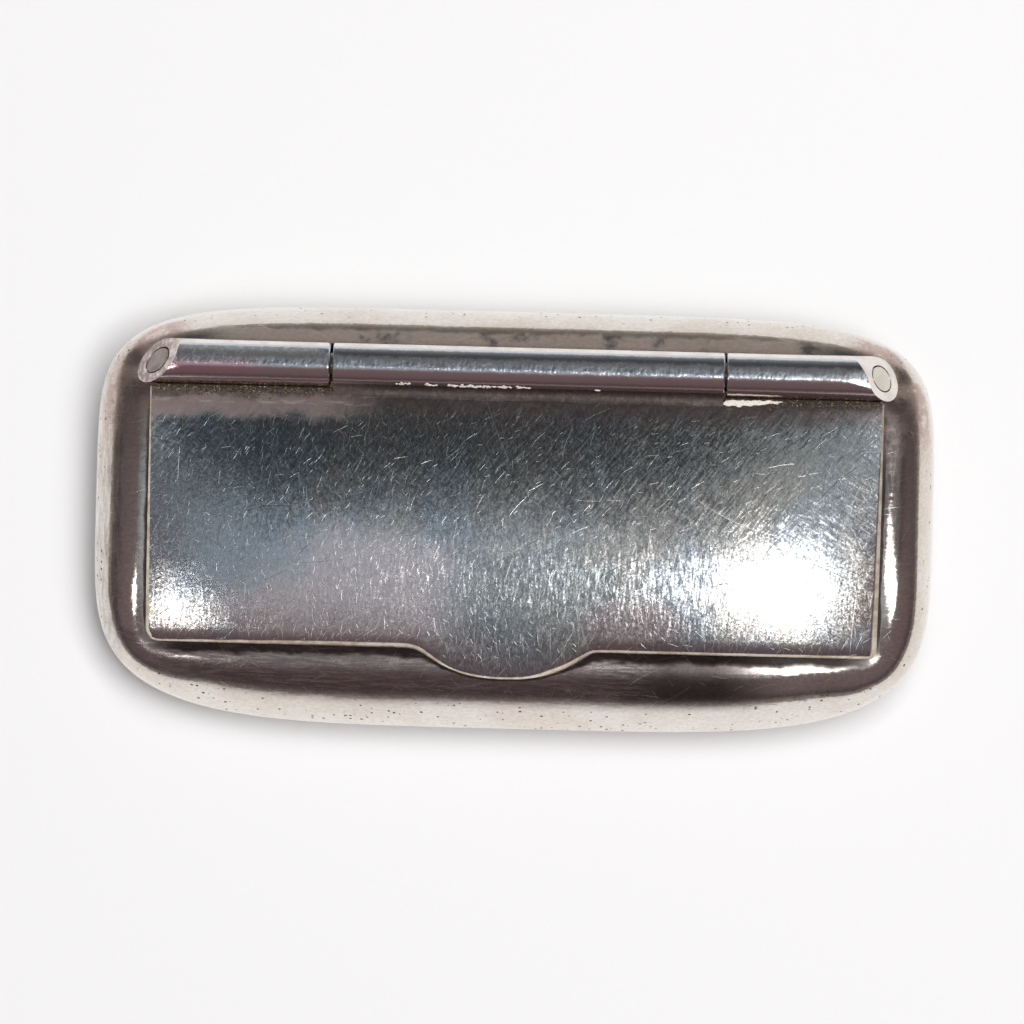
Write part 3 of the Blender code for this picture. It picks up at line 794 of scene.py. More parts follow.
def case_finish():
    """Silver with marks of handling, small dark pits low on its walls, painted shade with some dirt round
    the lid, painted shade on the front shoulder and the walls, and a pale line of solder behind the
    barrel."""
    finish = bpy.context.scene.snuff_finish
    graph = Graph("case_silver_handled_painted_shade")
    where = graph.place_mm()
    x, y, height = where.parts()
    mask, tilts = many_scratches(where, [
        (1.2, 2.2, 0.055, 0.5, 0.10, 0, 120, 40),
        (2.6, 5.0, 0.060, 0.6, 0.12, 0, 50, 40),
    ])
    tilts += [hairlines(where, 0, 5.0, 3.0, 0.07), hairlines(where, 80, 4.5, 1.6, 0.05)]
    tilts += [grain_tilt(where, 2.4, 0.05), grain_tilt(where, 0.7, 0.04)]
    away, chance, _ = graph.cells(where, 2.2)
    pit = (away - chance[0].ease(0.60, 1.0, 0.0, 0.31)).ease(-0.03, 0.0, 1, 0)
    patchy = graph.noise(where, 0.22, 3, 0.6).ease(0.32, 0.46)
    pit = pit * height.band(4.6, 9.4, 0.8) * patchy
    cloud = graph.noise(where, 0.14, 3, 0.5).ease(0.42, 0.62, 0, 0.6)
    tint = graph.blend(cloud, finish.silver[:], (0.76, 0.67, 0.59))

    # Painted shade: the front shoulder darkened, with streaks, to dim the softbox's long highlight,
    # darkest where that highlight must be faint; the right wall beside the lid darkened likewise; and the
    # left wall's drawn streaks, darker on average, partly painted shade
    faint = x.ease(5, 13)
    streaks = graph.noise(where * (0.45, 4.0, 3.0), 1.0, 3, 0.7).ease(0.42, 0.66, 0.98, 0.50)
    shoulder = y.ease(-9.4, -10.4) * x.ease(17, 23.5, 1, 0) * height.ease(8.6, 10.2)
    shoulder = shoulder * (streaks | faint * 0.96)
    # Colours of the painted shade on the front shoulder.
    tarnish = graph.blend(faint, (0.33, 0.26, 0.26), (0.14, 0.11, 0.11))
    tint = graph.blend(shoulder, tint, tarnish)
    beside = abs(x) - LID_HALF_LENGTH / MM
    drawn = graph.noise(where * (4.0, 0.5, 3.0), 1.0, 3, 0.7)
    # Painted shade on the right wall's upper part beside the lid, which dims the softbox's highlight
    # there.
    shade = beside.ease(0.1, 0.3) * beside.ease(2.4, 1.2) * y.ease(-4.5, -1.0) * x.ease(20, 25)
    shade = shade * height.ease(8.2, 9.2) * drawn.ease(0.35, 0.65, 0.95, 0.65)
    tint = graph.blend(shade, tint, (0.30, 0.24, 0.23))
    # Drawn streaks on the left wall's lower part, darker on average: real streaks and painted shade
    # together.
    left_streaks_and_shade = beside.ease(1.8, 2.6) * x.ease(-20, -25)
    tint = graph.blend(left_streaks_and_shade, tint, drawn.ease(0.32, 0.66, 0.62, 1.0), "MULTIPLY")

    # Painted shade with some dirt in the gap next to the lid, the solder's line behind the barrel, and
    # brown back corners
    ahead, reach = ahead_of_lid(x, y)
    uneven = graph.noise(where, 0.5, 3, 0.6)
    beyond = (ahead * (reach * 0.9 + 1.0) | beside * 2.4) + (uneven - 0.5) * 0.9
    gap_shade_and_dirt = beyond.ease(0.50, 1.05, 1, 0) * height.ease(9.5, 10.2) * y.ease(10.2, 11.0, 1, 0)
    tint = graph.blend(gap_shade_and_dirt * 0.85, tint, (0.10, 0.075, 0.07))
    broken = graph.noise(where, 0.35, 3, 0.6).ease(0.30, 0.50)
    behind = (uneven * 0.6 + y).band(14.5, 15.7, 0.25) * broken * abs(x).ease(22, 27, 1, 0)
    tint = graph.blend(behind * 0.8, tint, (0.48, 0.37, 0.31))
    corner = abs(x).ease(26, 29) * y.ease(4, 9) * height.ease(8.4, 9.4)
    corner = corner * graph.noise(where, 0.7, 3, 0.7).ease(0.35, 0.55, 0.4, 1.0)
    tint = graph.blend(corner, tint, (0.66, 0.52, 0.47))
    mottled = graph.noise(where * (2.6, 4.5, 2.6), 1.0, 3, 0.7).ease(0.32, 0.68, 0.84, 1.0)
    tint = graph.blend(1.0, tint, mottled, "MULTIPLY")
    tint = graph.blend(mask * 0.35, tint, (0.95, 0.92, 0.88))
    tint = graph.blend(pit, tint, finish.grime[:])

    roughness = graph.noise(where, 1.4, 3, 0.7).ease(0.3, 0.7, 0.07, 0.12) + (mask | pit) * 0.16
    roughness = roughness + shoulder * 0.20 + (gap_shade_and_dirt | behind | corner * 0.6) * 0.45
    return graph.finish(tint, roughness, tilts, 1.0 - behind * 0.35)


def hinge_finish():
    """Barrel silver: a scratched band along its top with a painted highlight, brighter towards the right
    end, bluish behind it and mauve in front.
    """
    graph = Graph("hinge_silver_worn_painted_highlight")
    where = graph.place_mm()
    x, y, _ = where.parts()
    across = (graph.noise(where, 1.2, 4, 0.7) - 0.5) * 0.5 + (y - AXIS.y / MM)
    rear = across - x.ease(-14, -17, 0, 0.45)
    top = across.ease(-0.30, 0.0) * rear.ease(0.55, 0.90, 1, 0)
    mask, tilts = many_scratches(where, [
        (0.45, 0.80, 0.070, 0.9, 0.30, 90, 80, 60),
        (0.80, 1.30, 0.080, 0.9, 0.32, 80, 80, 60),
        (1.6, 2.4, 0.080, 0.4, 0.25, 0, 60, 0),
    ])
    tilts += [hairlines(where, 82, 5.0, 0.6, 0.8), hairlines(where, 40, 5.0, 0.5, 0.5)]
    strength = top * 0.85 + 0.15
    tilts = [tilt * strength for tilt in tilts]
    tilts += [grain_tilt(where, 2.8, 0.07), grain_tilt(where, 0.9, 0.05)]
    ahead = across.ease(-0.45, -0.05, 1, 0)
    tint = graph.blend(ahead, (0.62, 0.68, 0.74), (0.74, 0.62, 0.62))
    # Painted highlight on the top band: lighter towards the right end and at the band's back.
    lit = graph.blend(x.ease(15, 23), (0.47, 0.54, 0.60), (0.82, 0.89, 0.93))
    lit = graph.blend(across.ease(0.0, 0.35), lit, (0.90, 0.96, 1.0))
    tint = graph.blend(top, tint, lit)
    # Paler strokes in the band, painted glints on its scratches.
    tint = graph.blend(mask * top * 0.6, tint, (0.93, 0.97, 1.0))
    pink = x.ease(-20, -23, 0, 0.7) * across.band(-0.9, 0.1, 0.2)
    tint = graph.blend(pink, tint, (0.86, 0.52, 0.58))
    return graph.finish(tint, top * 0.27 + 0.15 + mask * strength * 0.15, tilts)


def plain_finish(name, tints, scale, rough, speckle=3.0, uneven=0.05, stained=None):
    """A metal whose tint and roughness wander, for pieces that show little. stained can change the
    tint, from the place and the tint so far."""
    graph = Graph(name)
    where = graph.place_mm()
    tint = graph.blend(graph.noise(where, scale, 4, 0.6).ease(0.38, 0.64), *tints)
    if stained:
        tint = stained(where, tint)
    roughness = graph.noise(where, speckle, 3, 0.7).ease(0.3, 0.7, rough - 0.06, rough + 0.06)
    return graph.finish(tint, roughness, [grain_tilt(where, speckle * 1.5, uneven)])


def edge_finish():
    """Worn satin silver of the lid's bevels, with brown specks."""
    tints = (0.94, 0.87, 0.76), (0.66, 0.55, 0.42)
    return plain_finish("edge_silver_satin", tints, 0.9, 0.40, 4.0, 0.10)


def left_stain_and_shade(where, tint):
    """Brown mottled stains and painted shade on the left end of the barrel."""
    stain = where.graph.noise(where, 1.4, 4, 0.7).ease(0.36, 0.60)
    stained = where.graph.blend(stain, (0.74, 0.66, 0.61), (0.34, 0.27, 0.25))
    return where.graph.blend(where.parts()[0].ease(-27, -29), tint, stained)


def filed_finish():
    """Smooth filed silver of the barrel's flat back and ends, darker and browner at the left end: mottled
    stains with painted shade.
    """
    tints = (0.90, 0.85, 0.79), (0.78, 0.71, 0.66)
    return plain_finish("filed_silver_painted_shade", tints, 0.6, 0.24, stained=left_stain_and_shade)


def gilt_finish():
    """Worn satin gilding."""
    tints = bpy.context.scene.snuff_finish.gilding[:], (0.82, 0.66, 0.40)
    return plain_finish("gilt_silver_satin", tints, 0.3, 0.34, 4.0, 0.08)


def matt_finish(name, pattern, threshold, tints, roughness):
    """A dull residue. Its spots, where a noise pattern passes a threshold, have the second tint."""
    graph = Graph(name)
    spots = graph.noise(graph.place_mm(), *pattern)
    tint = graph.blend(spots.ease(*threshold), *tints)
    return graph.finish(tint, spots.ease(0.3, 0.7, *roughness), metallic=0)


def chalk_finish():
    """Matt pale residue of old solder and polish."""
    tints = bpy.context.scene.snuff_finish.chalk[:], (0.66, 0.52, 0.42)
    return matt_finish("solder_residue", (6.0, 3, 0.6), (0.45, 0.7), tints, (0.45, 0.7))


def grime_finish():
    """Dark dried polish with golden specks."""
    finish = bpy.context.scene.snuff_finish
    tints = finish.grime[:], finish.brass_specks[:]
    return matt_finish("joint_grime", (5.0, 3, 0.7), (0.56, 0.64), tints, (0.75, 0.45))


class SNUFFBOX_OT_case(bpy.types.Operator):
    """The cushion-shaped case, with its opening and the trough for the hinge"""

    bl_idname = "snuffbox.case"
    bl_label = "Case"

    def execute(self, context):
        case = context.scene.snuff_case
        square = unit_square(case.around)
        rising = [step / case.up for step in range(case.up + 1)]
        falling = rising[::-1]
        rings = [base_ring(t, 0, square) for t in falling]
        rings += [upper_ring(t, 0, square) for t in rising[1:]]
        outside = len(rings)
        rings += [upper_ring(t, case.sheet, square) for t in falling]
        rings += [base_ring(t, case.sheet, square) for t in rising[1:]]
        slots = [0] * (outside + 1) + [1] * (len(rings) - outside - 1)
        bm = loft(rings, slots)
        lowest = case.girdle + case.sheet / 2
        rim = [edge for edge in bm.edges if edge.calc_face_angle(0) > EDGE_ANGLE]
        rim = [edge for edge in rim if all(vert.co.z > lowest for vert in edge.verts)]
        round_edges(bm, rim, case.rim_round, 3)
        made = new_object("case_body", bm, [case_finish(), gilt_finish()])
        gap = context.scene.snuff_hinge.trough_gap
        trough = rod(BARREL_RADIUS + gap, -BODY_LENGTH / 2, BODY_LENGTH / 2, 128)
        trough = new_object("trough", trough)
        block = filed_block(gap)
        shape_with(trough, block, "INTERSECT")
        shape_with(made, trough, "DIFFERENCE")
        for cutter in (trough, block):
            bpy.data.objects.remove(cutter)
        place(made, "case", "case_silver", "base_shell", "upper_shell", sharp=35)
        return {"FINISHED"}


def lobe_reach(x):
    """How far the thumbpiece stands out from the lid's front edge."""
    lid = bpy.context.scene.snuff_lid
    off = x + lid.lobe_shift
    raw = lid.lobe_depth * (1 - abs(2 * off / lid.lobe_length) ** lid.lobe_power)
    fillet = lid.left_fillet if off < 0 else lid.right_fillet
    return above_zero(raw, fillet)


def front_bevel(x):
    """Width of the front edge's bevel: thick left of the thumbpiece and on its right flank."""
    lid = bpy.context.scene.snuff_lid
    off = (x + lid.lobe_shift) / lid.lobe_length
    left = smooth(off, -2.2, -0.9) * (1 - smooth(off, -0.50, -0.30))
    flank = smooth(off, 0.10, 0.30) * (1 - smooth(off, 0.46, 0.54))
    right = 0.4 * smooth(off, 0.46, 0.56)
    wave = 0.03 * MM * noise.noise(Vector((x * 600, 0, 0)))
    return lid.thin_bevel + (lid.thick_bevel - lid.thin_bevel) * max(left, flank, right) + wave


def lines(low, high, low_bevel, high_bevel, count):
    """Places across the dome, close together at its bevels."""
    first = [low + low_bevel * part for part in BEVEL_SHARES]
    last = [high - high_bevel * part for part in reversed(BEVEL_SHARES)]
    gap = last[0] - first[-1]
    return first + [first[-1] + gap * i / count for i in range(1, count)] + last


class SNUFFBOX_OT_lid(bpy.types.Operator):
    """The domed lid with its thumbpiece and worn bevels"""

    bl_idname = "snuffbox.lid"
    bl_label = "Lid"

    def execute(self, context):
        lid, half = context.scene.snuff_lid, LID_HALF_LENGTH
        front_y = lid_front_y()
        depth = LID_BACK_Y - front_y
        count = round(2 * half / lid.step)
        deep = round(depth / lid.step)
        columns = lines(-half, half, lid.left_bevel, lid.right_bevel, count)
        rows = [lines(0, depth, front_bevel(x), lid.back_bevel, deep) for x in columns]
        last_column, last_row = len(columns) - 1, len(rows[0]) - 1
        bm = bmesh.new()
        bmesh.ops.create_grid(bm, x_segments=last_column, y_segments=last_row, size=0.5)
        corners = (
            (Vector((-half, front_y)), lid.left_corner),
            (Vector((half, front_y)), lid.right_corner),
        )
        bevelled = set()
        for vert in bm.verts:
            column = round((vert.co.x + 0.5) * last_column)
            ahead = rows[column][round((vert.co.y + 0.5) * last_row)]
            left = lid.left_bevel * (1 - lid.taper * ahead / depth)
            right = lid.right_bevel * (1 - lid.taper * ahead / depth)
            x = lines(-half, half, left, right, count)[column]
            drop = max(
                left - (x + half), 0.85 * (right - (half - x)),
                front_bevel(x) - ahead, lid.back_bevel - (depth - ahead),
            )
            if drop > -MERGE:
                bevelled.add(vert)
            plan = Vector((x, front_y + ahead))
            for corner, radius in corners:
                plan = rounded_corner(plan, corner, radius)
            plan.y -= lobe_reach(x) * (1 - ahead / depth) ** 1.5
            wave = noise.noise(Vector((plan.x, plan.y, 0)) * 140) * lid.ripple
            roll = lid.roll * max(1 - ahead / lid.roll_width, 0) ** 2
            vert.co = (*plan, crown(*plan) + wave - roll - max(drop, 0))
        for face in bm.faces:
            if all(vert in bevelled for vert in face.verts):
                face.material_index = 2
        verts, faces = thickened(bm)
        for vert in verts:
            vert.co.z = min(underside(vert.co.x, vert.co.y), vert.co.z - 0.1 * MM)
        for face in faces:
            face.material_index = 1
        bmesh.ops.recalc_face_normals(bm, faces=bm.faces)
        made = new_object("lid_dome", bm, [lid_finish(), gilt_finish(), edge_finish()])
        place(made, "lid", "lid_silver", "lid_panel", sharp=38)
        return {"FINISHED"}


class SNUFFBOX_OT_hinge(bpy.types.Operator):
    """The three knuckles and the plugs at the ends of the pin's bore"""

    bl_idname = "snuffbox.hinge"
    bl_label = "Hinge"

    def execute(self, context):
        hinge = context.scene.snuff_hinge
        far, worn = BODY_LENGTH / 2, hinge.split_round
        block = filed_block(0, slot=1)
        bore = new_object("bore", rod(PIN_RADIUS + hinge.pin_clearance, -far, far))
        finishes = [hinge_finish(), filed_finish()]
        left, right = CENTRE_LOW.x, CENTRE_HIGH.x
        for name, body, *stretch in (
            ("left_knuckle", "case", -far, left - hinge.left_split, worn, worn * 2.2),
            ("lid_knuckle", "lid", left, right, worn * 0.6, worn * 1.4),
            ("right_knuckle", "case", right + hinge.right_split, far, worn * 0.8, worn),
        ):
            made = new_object(name + "_fine", knuckle(*stretch), finishes)
            shape_with(made, block, "INTERSECT")
            shape_with(made, bore, "DIFFERENCE")
            place(made, body, "hinge_silver", name, sharp=5.5)
        # Shaded and lit copies of one plug silver: the left plug dark as painted shade, the right one
        # pale as painted light.
        dull = ((0.22, 0.19, 0.18), (0.34, 0.29, 0.27)), 0.8, 0.30
        pale = ((0.74, 0.68, 0.60), (0.66, 0.60, 0.52)), 0.5, 0.26
        for name, finish, look in (
            ("left_end_plug", "plug_silver_painted_shade", dull), ("right_end_plug", "plug_silver_painted_light", pale)
        ):
            low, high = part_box(name)
            plug = rod(PIN_RADIUS, low.x - 2 * MM, high.x + 2 * MM)
            made = new_object(name + "_fine", plug, [plain_finish(finish, *look)])
            shape_with(made, block, "INTERSECT")
            for face in made.data.polygons:
                face.material_index = 0
            place(made, "case", "pin_silver", name, sharp=8)
        for cutter in (block, bore):
            bpy.data.objects.remove(cutter)
        return {"FINISHED"}


class SNUFFBOX_OT_rim(bpy.types.Operator):
    """The liner inside the opening, and the flange under the lid that closes inside it"""

    bl_idname = "snuffbox.rim"
    bl_label = "Rim liner and lid flange"

    def path(self, half_length, front_y, back_y, radius):
        """Points and inward directions along the left, front and right sides."""
        inner_x, inner_y = half_length - radius, front_y + radius
        side_steps, corner_steps, front_steps = 16, 8, 40
        made = []
        for step in range(side_steps):
            y = back_y + (inner_y - back_y) * step / side_steps
            made.append((Vector((-half_length, y)), Vector((1, 0))))
        for centre_x, start in ((-inner_x, math.pi), (inner_x, 1.5 * math.pi)):
            for step in range(corner_steps + 1):
                angle = start + QUARTER * step / corner_steps
                out = Vector((math.cos(angle), math.sin(angle)))
                made.append((Vector((centre_x, inner_y)) + out * radius, -out))
            if centre_x < 0:
                for step in range(1, front_steps):
                    x = centre_x + 2 * inner_x * step / front_steps
                    made.append((Vector((x, front_y)), Vector((0, 1))))
        for step in range(1, side_steps + 1):
            y = inner_y + (back_y - inner_y) * step / side_steps
            made.append((Vector((half_length, y)), Vector((-1, 0))))
        return made

    def strip(self, name, points, sheet, bottom, top, material):
        """A strip along the points, from the bottom up to a top that depends on x and y."""
        bm = bmesh.new()
        bmesh.ops.create_grid(bm, x_segments=len(points) - 1, y_segments=1, size=0.5)
        for vert in bm.verts:
            point, inward = points[round((vert.co.x + 0.5) * (len(points) - 1))]
            spot = point + inward * (sheet if vert.co.y > 0 else 0)
            vert.co = (*spot, top(*spot))
        for vert in thickened(bm)[0]:
            vert.co.z = bottom
        bmesh.ops.recalc_face_normals(bm, faces=bm.faces)
        sharp = [edge for edge in bm.edges if edge.calc_face_angle(0) > EDGE_ANGLE]
        round_edges(bm, sharp, 0.08 * MM, 2)
        return new_object(name, bm, [material])

    def execute(self, context):
        overlap = context.scene.snuff_case.overlap
        gilt = gilt_finish()
        half = LID_HALF_LENGTH - overlap
        points = self.path(half, lid_front_y() + overlap, LINER_HIGH.y, 1.0 * MM)
        made = self.strip(
            "rim_liner", points, LINER_HIGH.x + half, LINER_LOW.z,
            lambda x, y: rim_height(x, y) - 0.02 * MM, gilt,
        )
        place(made, "case", "gilt_silver", "rim_liner_left", "rim_liner_right", "rim_liner_front")
        points = self.path(FLANGE_SIDE.x, FLANGE_LOW.y, FLANGE_SIDE.y, 0.8 * MM)
        made = self.strip(
            "lid_flange", points, FLANGE_HIGH.y - FLANGE_LOW.y, FLANGE_LOW.z,
            lambda x, y: underside(x, y) + 0.05 * MM, gilt,
        )
        place(made, "lid", "gilt_silver", "lid_flange_left", "lid_flange_right", "lid_flange_front")
        return {"FINISHED"}


def swept(name, left, right, section, step, material):
    """A closed strip along X on the lid, whose section is a function of x that gives y and z."""
    count = round((right - left) / step)
    rings = []
    for i in range(count + 1):
        x = left + (right - left) * i / count
        rings.append([(x, y, z) for y, z in section(x)])
    place(new_object(name, loft(rings), [material]), "lid", "lid_silver", sharp=50)


def around_axis(radius, angle):
    """A place of y and z in front of the hinge axis, at an angle above the level."""
    return AXIS.y - radius * math.cos(angle), AXIS.z + radius * math.sin(angle)


def lump(scale, *seed):
    """An unevenness of up to about scale millimetres, which the place given decides."""
    return scale * MM * noise.noise(Vector(seed))


class SNUFFBOX_OT_solder(bpy.types.Operator):
    """The fillet between the centre knuckle and the lid, and the residue and grime along the hinge"""

    bl_idname = "snuffbox.solder"
    bl_label = "Solder and grime"

    def blobs(self, name, material, spots, slot):
        """Small flattened lumps on the lid: each has a place, three sizes and a turn round X."""
        bm = bmesh.new()
        for place_at, sizes, roll in spots:
            verts = bmesh.ops.create_icosphere(bm, subdivisions=2, radius=1)["verts"]
            for vert in verts:
                bump = 1 + 0.35 * noise.noise(vert.co * 1.7 + place_at * 3000)
                vert.co = vert.co * Vector(sizes) * bump
            bmesh.ops.rotate(bm, verts=verts, cent=(0, 0, 0), matrix=Matrix.Rotation(roll, 3, "X"))
            bmesh.ops.translate(bm, verts=verts, vec=place_at)
        place(new_object(name, bm, [material]), "lid", slot, sharp=60)

    def fillet_section(self, x):
        """From the dome up to the centre knuckle, in a hollow curve."""
        hinge = bpy.context.scene.snuff_hinge
        foot_y = LID_BACK_Y - hinge.fillet + lump(0.1, x * 200, 0, 0)
        foot = Vector((foot_y, crown(x, foot_y) + 0.003 * MM))
        head = Vector(around_axis(BARREL_RADIUS + 0.01 * MM, hinge.fillet_top))
        hollow = Vector((LID_BACK_Y + 0.33 * MM, AXIS.z + 0.40 * MM))
        curve = []
        for step in range(11):
            t = step / 10
            curve.append(foot * (1 - t) ** 2 + hollow * 2 * t * (1 - t) + head * t**2)
        inner = BARREL_RADIUS - 0.15 * MM
        ends = [around_axis(inner, angle) for angle in (hinge.fillet_top, math.radians(-6))]
        return curve + ends + [(foot_y, AXIS.z - 0.1 * MM)]

    def lip_section(self, x):
        """Packed grime that carries the lid's back edge on to the barrel."""
        swell, crumb = lump(0.05, x * 2600, 0, 7), lump(0.06, x * 1900, 5, 0)
        top = crown(x, LID_BACK_Y)
        return [
            (LID_BACK_Y - 0.5 * MM, crown(x, LID_BACK_Y - 0.5 * MM) - 0.03 * MM),
            (LID_BACK_Y - 0.3 * MM, crown(x, LID_BACK_Y - 0.3 * MM) + swell * 0.6),
            (LID_BACK_Y - 0.08 * MM, top + swell),
            (LID_BACK_Y + 0.08 * MM, top + crumb - 0.03 * MM),
            around_axis(BARREL_RADIUS + 0.10 * MM + crumb * 0.6, math.radians(8)),
            around_axis(BARREL_RADIUS + 0.05 * MM, math.radians(2)),
            around_axis(BARREL_RADIUS + 0.05 * MM, math.radians(-4)),
            (LID_BACK_Y - 0.5 * MM, AXIS.z - 0.13 * MM),
        ]

    def beads(self, draw):
        """Drops of solder along the front of the centre knuckle."""
        spots = []
        for _ in range(34):
            middle = draw.triangular(-12.6, 8.8, -3.0)
            tilt = math.radians(39 - 0.45 * (middle + 12) + draw.gauss(0, 1.2))
            for _ in range(draw.choice((1, 2, 3, 5))):
                x = (middle + draw.gauss(0, 0.35)) * MM
                angle = tilt + math.radians(draw.gauss(0, 1.8))
                spot = Vector((x, *around_axis(BARREL_RADIUS, angle)))
                sizes = (draw.uniform(0.06, 0.22) * MM, draw.uniform(0.04, 0.13) * MM, 0.06 * MM)
                spots.append((spot, sizes, QUARTER - angle))
        return spots

    def pool(self, draw):
        """Pale residue on the lid's back edge, right of the centre knuckle."""
        spots = []
        for _ in range(60):
            t = draw.random() ** 1.2
            swell = math.sin(math.pi * min(0.25 + t, 1)) ** 0.6
            x = (17.3 + 4.2 * t) * MM
            y = LID_BACK_Y - (0.02 + 0.16 * swell + draw.gauss(0, 0.05)) * MM
            across = (0.06 + 0.17 * swell) * draw.uniform(0.8, 1.15) * MM
            sizes = (draw.uniform(0.2, 0.5) * MM, across, 0.06 * MM)
            spots.append((Vector((x, y, crown(x, y) + 0.01 * MM)), sizes, 0))
        return spots

    def specks(self, draw):
        """Crumbs in the grime, left and right of the centre knuckle."""
        spots = []
        for low_x, high_x, count in ((-28.6, -15.4, 260), (20.6, 28.4, 230)):
            for _ in range(count):
                x = draw.uniform(low_x, high_x) * MM
                y = LID_BACK_Y + 0.1 * MM - abs(draw.gauss(0, 0.33)) * MM
                sizes = (draw.uniform(0.03, 0.10) * MM, draw.uniform(0.03, 0.08) * MM, 0.035 * MM)
                spots.append((Vector((x, y, crown(x, y))), sizes, 0))
        return spots

    def execute(self, context):
        draw = random.Random(5)
        edge = 0.05 * MM
        left, right = CENTRE_LOW.x, CENTRE_HIGH.x
        far = LID_HALF_LENGTH - context.scene.snuff_lid.left_bevel - edge
        grime = grime_finish()
        for name, low, high, section, step, material in (
            ("solder_fillet", left + edge, right - edge, self.fillet_section, 0.4, lid_finish()),
            ("hinge_grime_left", -far, left - 2 * edge, self.lip_section, 0.12, grime),
            ("hinge_grime_right", right + 2 * edge, far, self.lip_section, 0.12, grime),
        ):
            swept(name, low, high, section, step * MM, material)
        self.blobs("solder_beads", chalk_finish(), self.beads(draw), "hinge_silver")
        self.blobs("solder_pool", chalk_finish(), self.pool(draw), "lid_silver")
        self.blobs("grime_specks", grime, self.specks(draw), "lid_silver")
        return {"FINISHED"}


class SNUFFBOX_OT_fittings(bpy.types.Operator):
    """The finishes of the pin, the trough and the bearer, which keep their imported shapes"""

    bl_idname = "snuffbox.fittings"
    bl_label = "Inner fittings"

    def execute(self, context):
        tints = (0.48, 0.45, 0.43), (0.30, 0.26, 0.24)
        pin = plain_finish("pin_silver_dull", tints, 1.0, 0.4)
        gilt = gilt_finish()
        for name, material in (("hinge_pin", pin), ("hinge_seat", gilt), ("lid_bearer", gilt)):
            frame["nodes"][name].material_slots[0].material = material
        return {"FINISHED"}


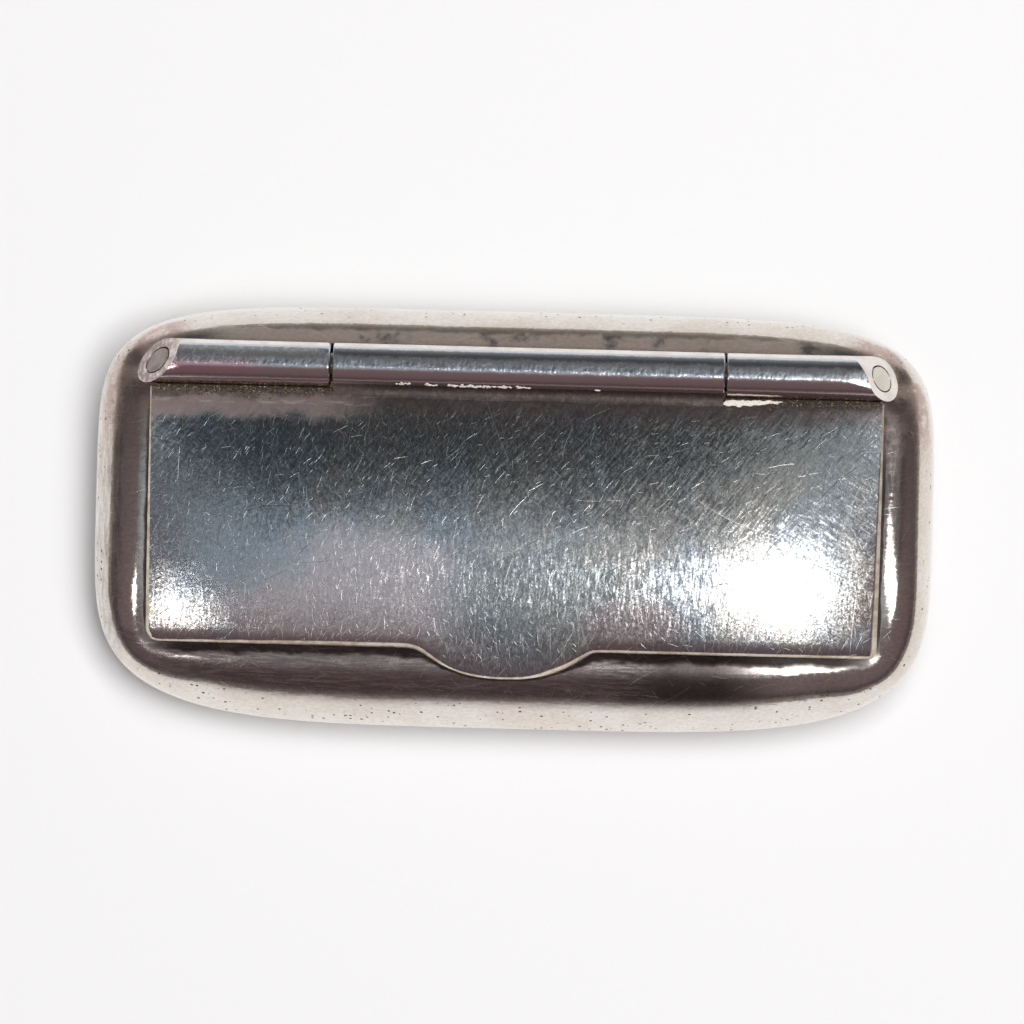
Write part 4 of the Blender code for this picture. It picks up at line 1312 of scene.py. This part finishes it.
class SNUFFBOX_OT_stage(bpy.types.Operator):
    """The pale floor, the room, the softboxes and the camera straight above"""

    bl_idname = "snuffbox.stage"
    bl_label = "Stage"

    def floor(self, stage):
        """The pale surface that the box stands on."""
        bm = bmesh.new()
        bmesh.ops.create_grid(bm, x_segments=1, y_segments=1, size=3)
        graph = Graph("pale_floor")
        graph.shader["Specular IOR Level"].default_value = 0.2
        made = new_object("floor", bm, [graph.finish(stage.floor[:], 0.6, metallic=0)])
        made.location.z = -0.00002

    def room(self, scene):
        """What the silver mirrors: a dim room behind the camera, lighter on the box's front side."""
        world = bpy.data.worlds.new("room")
        world.use_nodes = True
        scene.world = world
        graph = Graph("room", world.node_tree)
        x, y, z = graph.value("TexCoord", output="Generated").parts()
        down = (z | 0.0).maths("ARCCOSINE") / QUARTER
        level = (1.0 - z * z | 0.0).maths("SQRT")
        front = -y / (level | 0.01)
        behind = graph.ramp(down, [
            (0.0, (0.28, 0.31, 0.36)), (0.05, (0.13, 0.155, 0.18)), (0.15, (0.045, 0.052, 0.056)),
            (0.27, (0.080, 0.064, 0.062)), (0.70, (0.075, 0.078, 0.085)), (0.90, (0.22, 0.19, 0.17)),
            (1.0, (0.40, 0.37, 0.34)),
        ])
        before = graph.ramp(down, [
            (0.0, (0.28, 0.31, 0.36)), (0.04, (0.40, 0.45, 0.50)), (0.15, (0.37, 0.40, 0.43)),
            (0.21, (0.33, 0.35, 0.375)), (0.28, (0.17, 0.145, 0.15)), (0.45, (0.17, 0.13, 0.135)),
            (0.68, (0.15, 0.115, 0.125)), (0.85, (0.085, 0.062, 0.070)), (1.0, (0.30, 0.27, 0.25)),
        ])
        glow = graph.blend(front.ease(-0.5, 0.5), behind, before)
        beside = x.ease(0.03, 0.17) * down.ease(0.34, 0.16)
        glow = graph.blend(beside * 0.8, glow, (0.43, 0.45, 0.46))
        mirrored = graph.value("Background", {0: glow, 1: 1.0})
        seen = graph.value("Background", {0: (0.88, 0.88, 0.88), 1: 1.0})
        camera_ray = graph.value("LightPath", output="Is Camera Ray")
        both = graph.value("MixShader", {0: camera_ray, 1: mirrored, 2: seen})
        graph.feed(world.node_tree.nodes["World Output"].inputs["Surface"], both)

    def lamp(self, name, lean_right, lean_front, sizes, power):
        """A rectangular light 1 m away over the box, facing it."""
        data = bpy.data.lights.new(name, "AREA")
        data.shape = "RECTANGLE"
        data.size, data.size_y = sizes
        data.energy = power
        made = bpy.data.objects.new(name, data)
        bpy.context.scene.collection.objects.link(made)
        right, front = math.tan(math.radians(lean_right)), math.tan(math.radians(lean_front))
        made.location = Vector((right, -front, 1)).normalized()
        made.rotation_euler = made.location.to_track_quat("Z", "Y").to_euler()
        made.visible_camera = False
        return made

    def camera(self, scene, stage):
        """A camera that looks straight down, and shows the view's width at the girdle."""
        data = bpy.data.cameras.new("camera")
        distance = stage.camera_height - scene.snuff_case.girdle
        data.lens = data.sensor_width * distance / stage.view_width
        data.clip_start = 0.01
        camera = bpy.data.objects.new("camera", data)
        scene.collection.objects.link(camera)
        camera.location = (stage.look_x, stage.look_y, stage.camera_height)
        camera.rotation_euler = (0, 0, stage.roll)
        scene.camera = camera
        scene.view_settings.view_transform = "Standard"

    def execute(self, context):
        stage = context.scene.snuff_stage
        self.floor(stage)
        self.room(context.scene)
        self.lamp("right_softbox", 13.7, 13, (0.22, 0.26), stage.right_power)
        self.lamp("left_softbox", -23.6, 20.6, (0.11, 0.10), stage.left_power)
        room_light = self.lamp("room_light", 10, -7, (0.7, 0.4), stage.room_power)
        room_light.visible_glossy = False
        self.camera(context.scene, stage)
        return {"FINISHED"}


class SNUFFBOX_PT_panel(bpy.types.Panel):
    """Lists the sizes and the steps"""

    bl_idname = "SNUFFBOX_PT_panel"
    bl_label = "Snuff box"
    bl_space_type = "VIEW_3D"
    bl_region_type = "UI"
    bl_category = "Snuff box"

    def draw(self, context):
        for operator in OPERATORS:
            self.layout.operator(operator.bl_idname)
        for name in GROUPS:
            group = getattr(context.scene, name)
            column = self.layout.column(heading=name)
            for key in group.bl_rna.properties.keys()[1:]:
                column.prop(group, key)


OPERATORS = (
    SNUFFBOX_OT_case,
    SNUFFBOX_OT_lid,
    SNUFFBOX_OT_hinge,
    SNUFFBOX_OT_rim,
    SNUFFBOX_OT_solder,
    SNUFFBOX_OT_fittings,
    SNUFFBOX_OT_stage,
)


def register():
    for group in GROUPS.values():
        bpy.utils.register_class(group)
    for operator in OPERATORS:
        bpy.utils.register_class(operator)
    bpy.utils.register_class(SNUFFBOX_PT_panel)
    for name, group in GROUPS.items():
        setattr(bpy.types.Scene, name, bpy.props.PointerProperty(type=group))


def unregister():
    for name in GROUPS:
        delattr(bpy.types.Scene, name)
    bpy.utils.unregister_class(SNUFFBOX_PT_panel)
    for operator in reversed(OPERATORS):
        bpy.utils.unregister_class(operator)
    for group in reversed(list(GROUPS.values())):
        bpy.utils.unregister_class(group)


def main():
    register()
    bpy.ops.snuffbox.stage()
    bpy.ops.snuffbox.case()
    bpy.ops.snuffbox.lid()
    bpy.ops.snuffbox.hinge()
    bpy.ops.snuffbox.rim()
    bpy.ops.snuffbox.solder()
    bpy.ops.snuffbox.fittings()


if __name__ == "__main__":
    main()
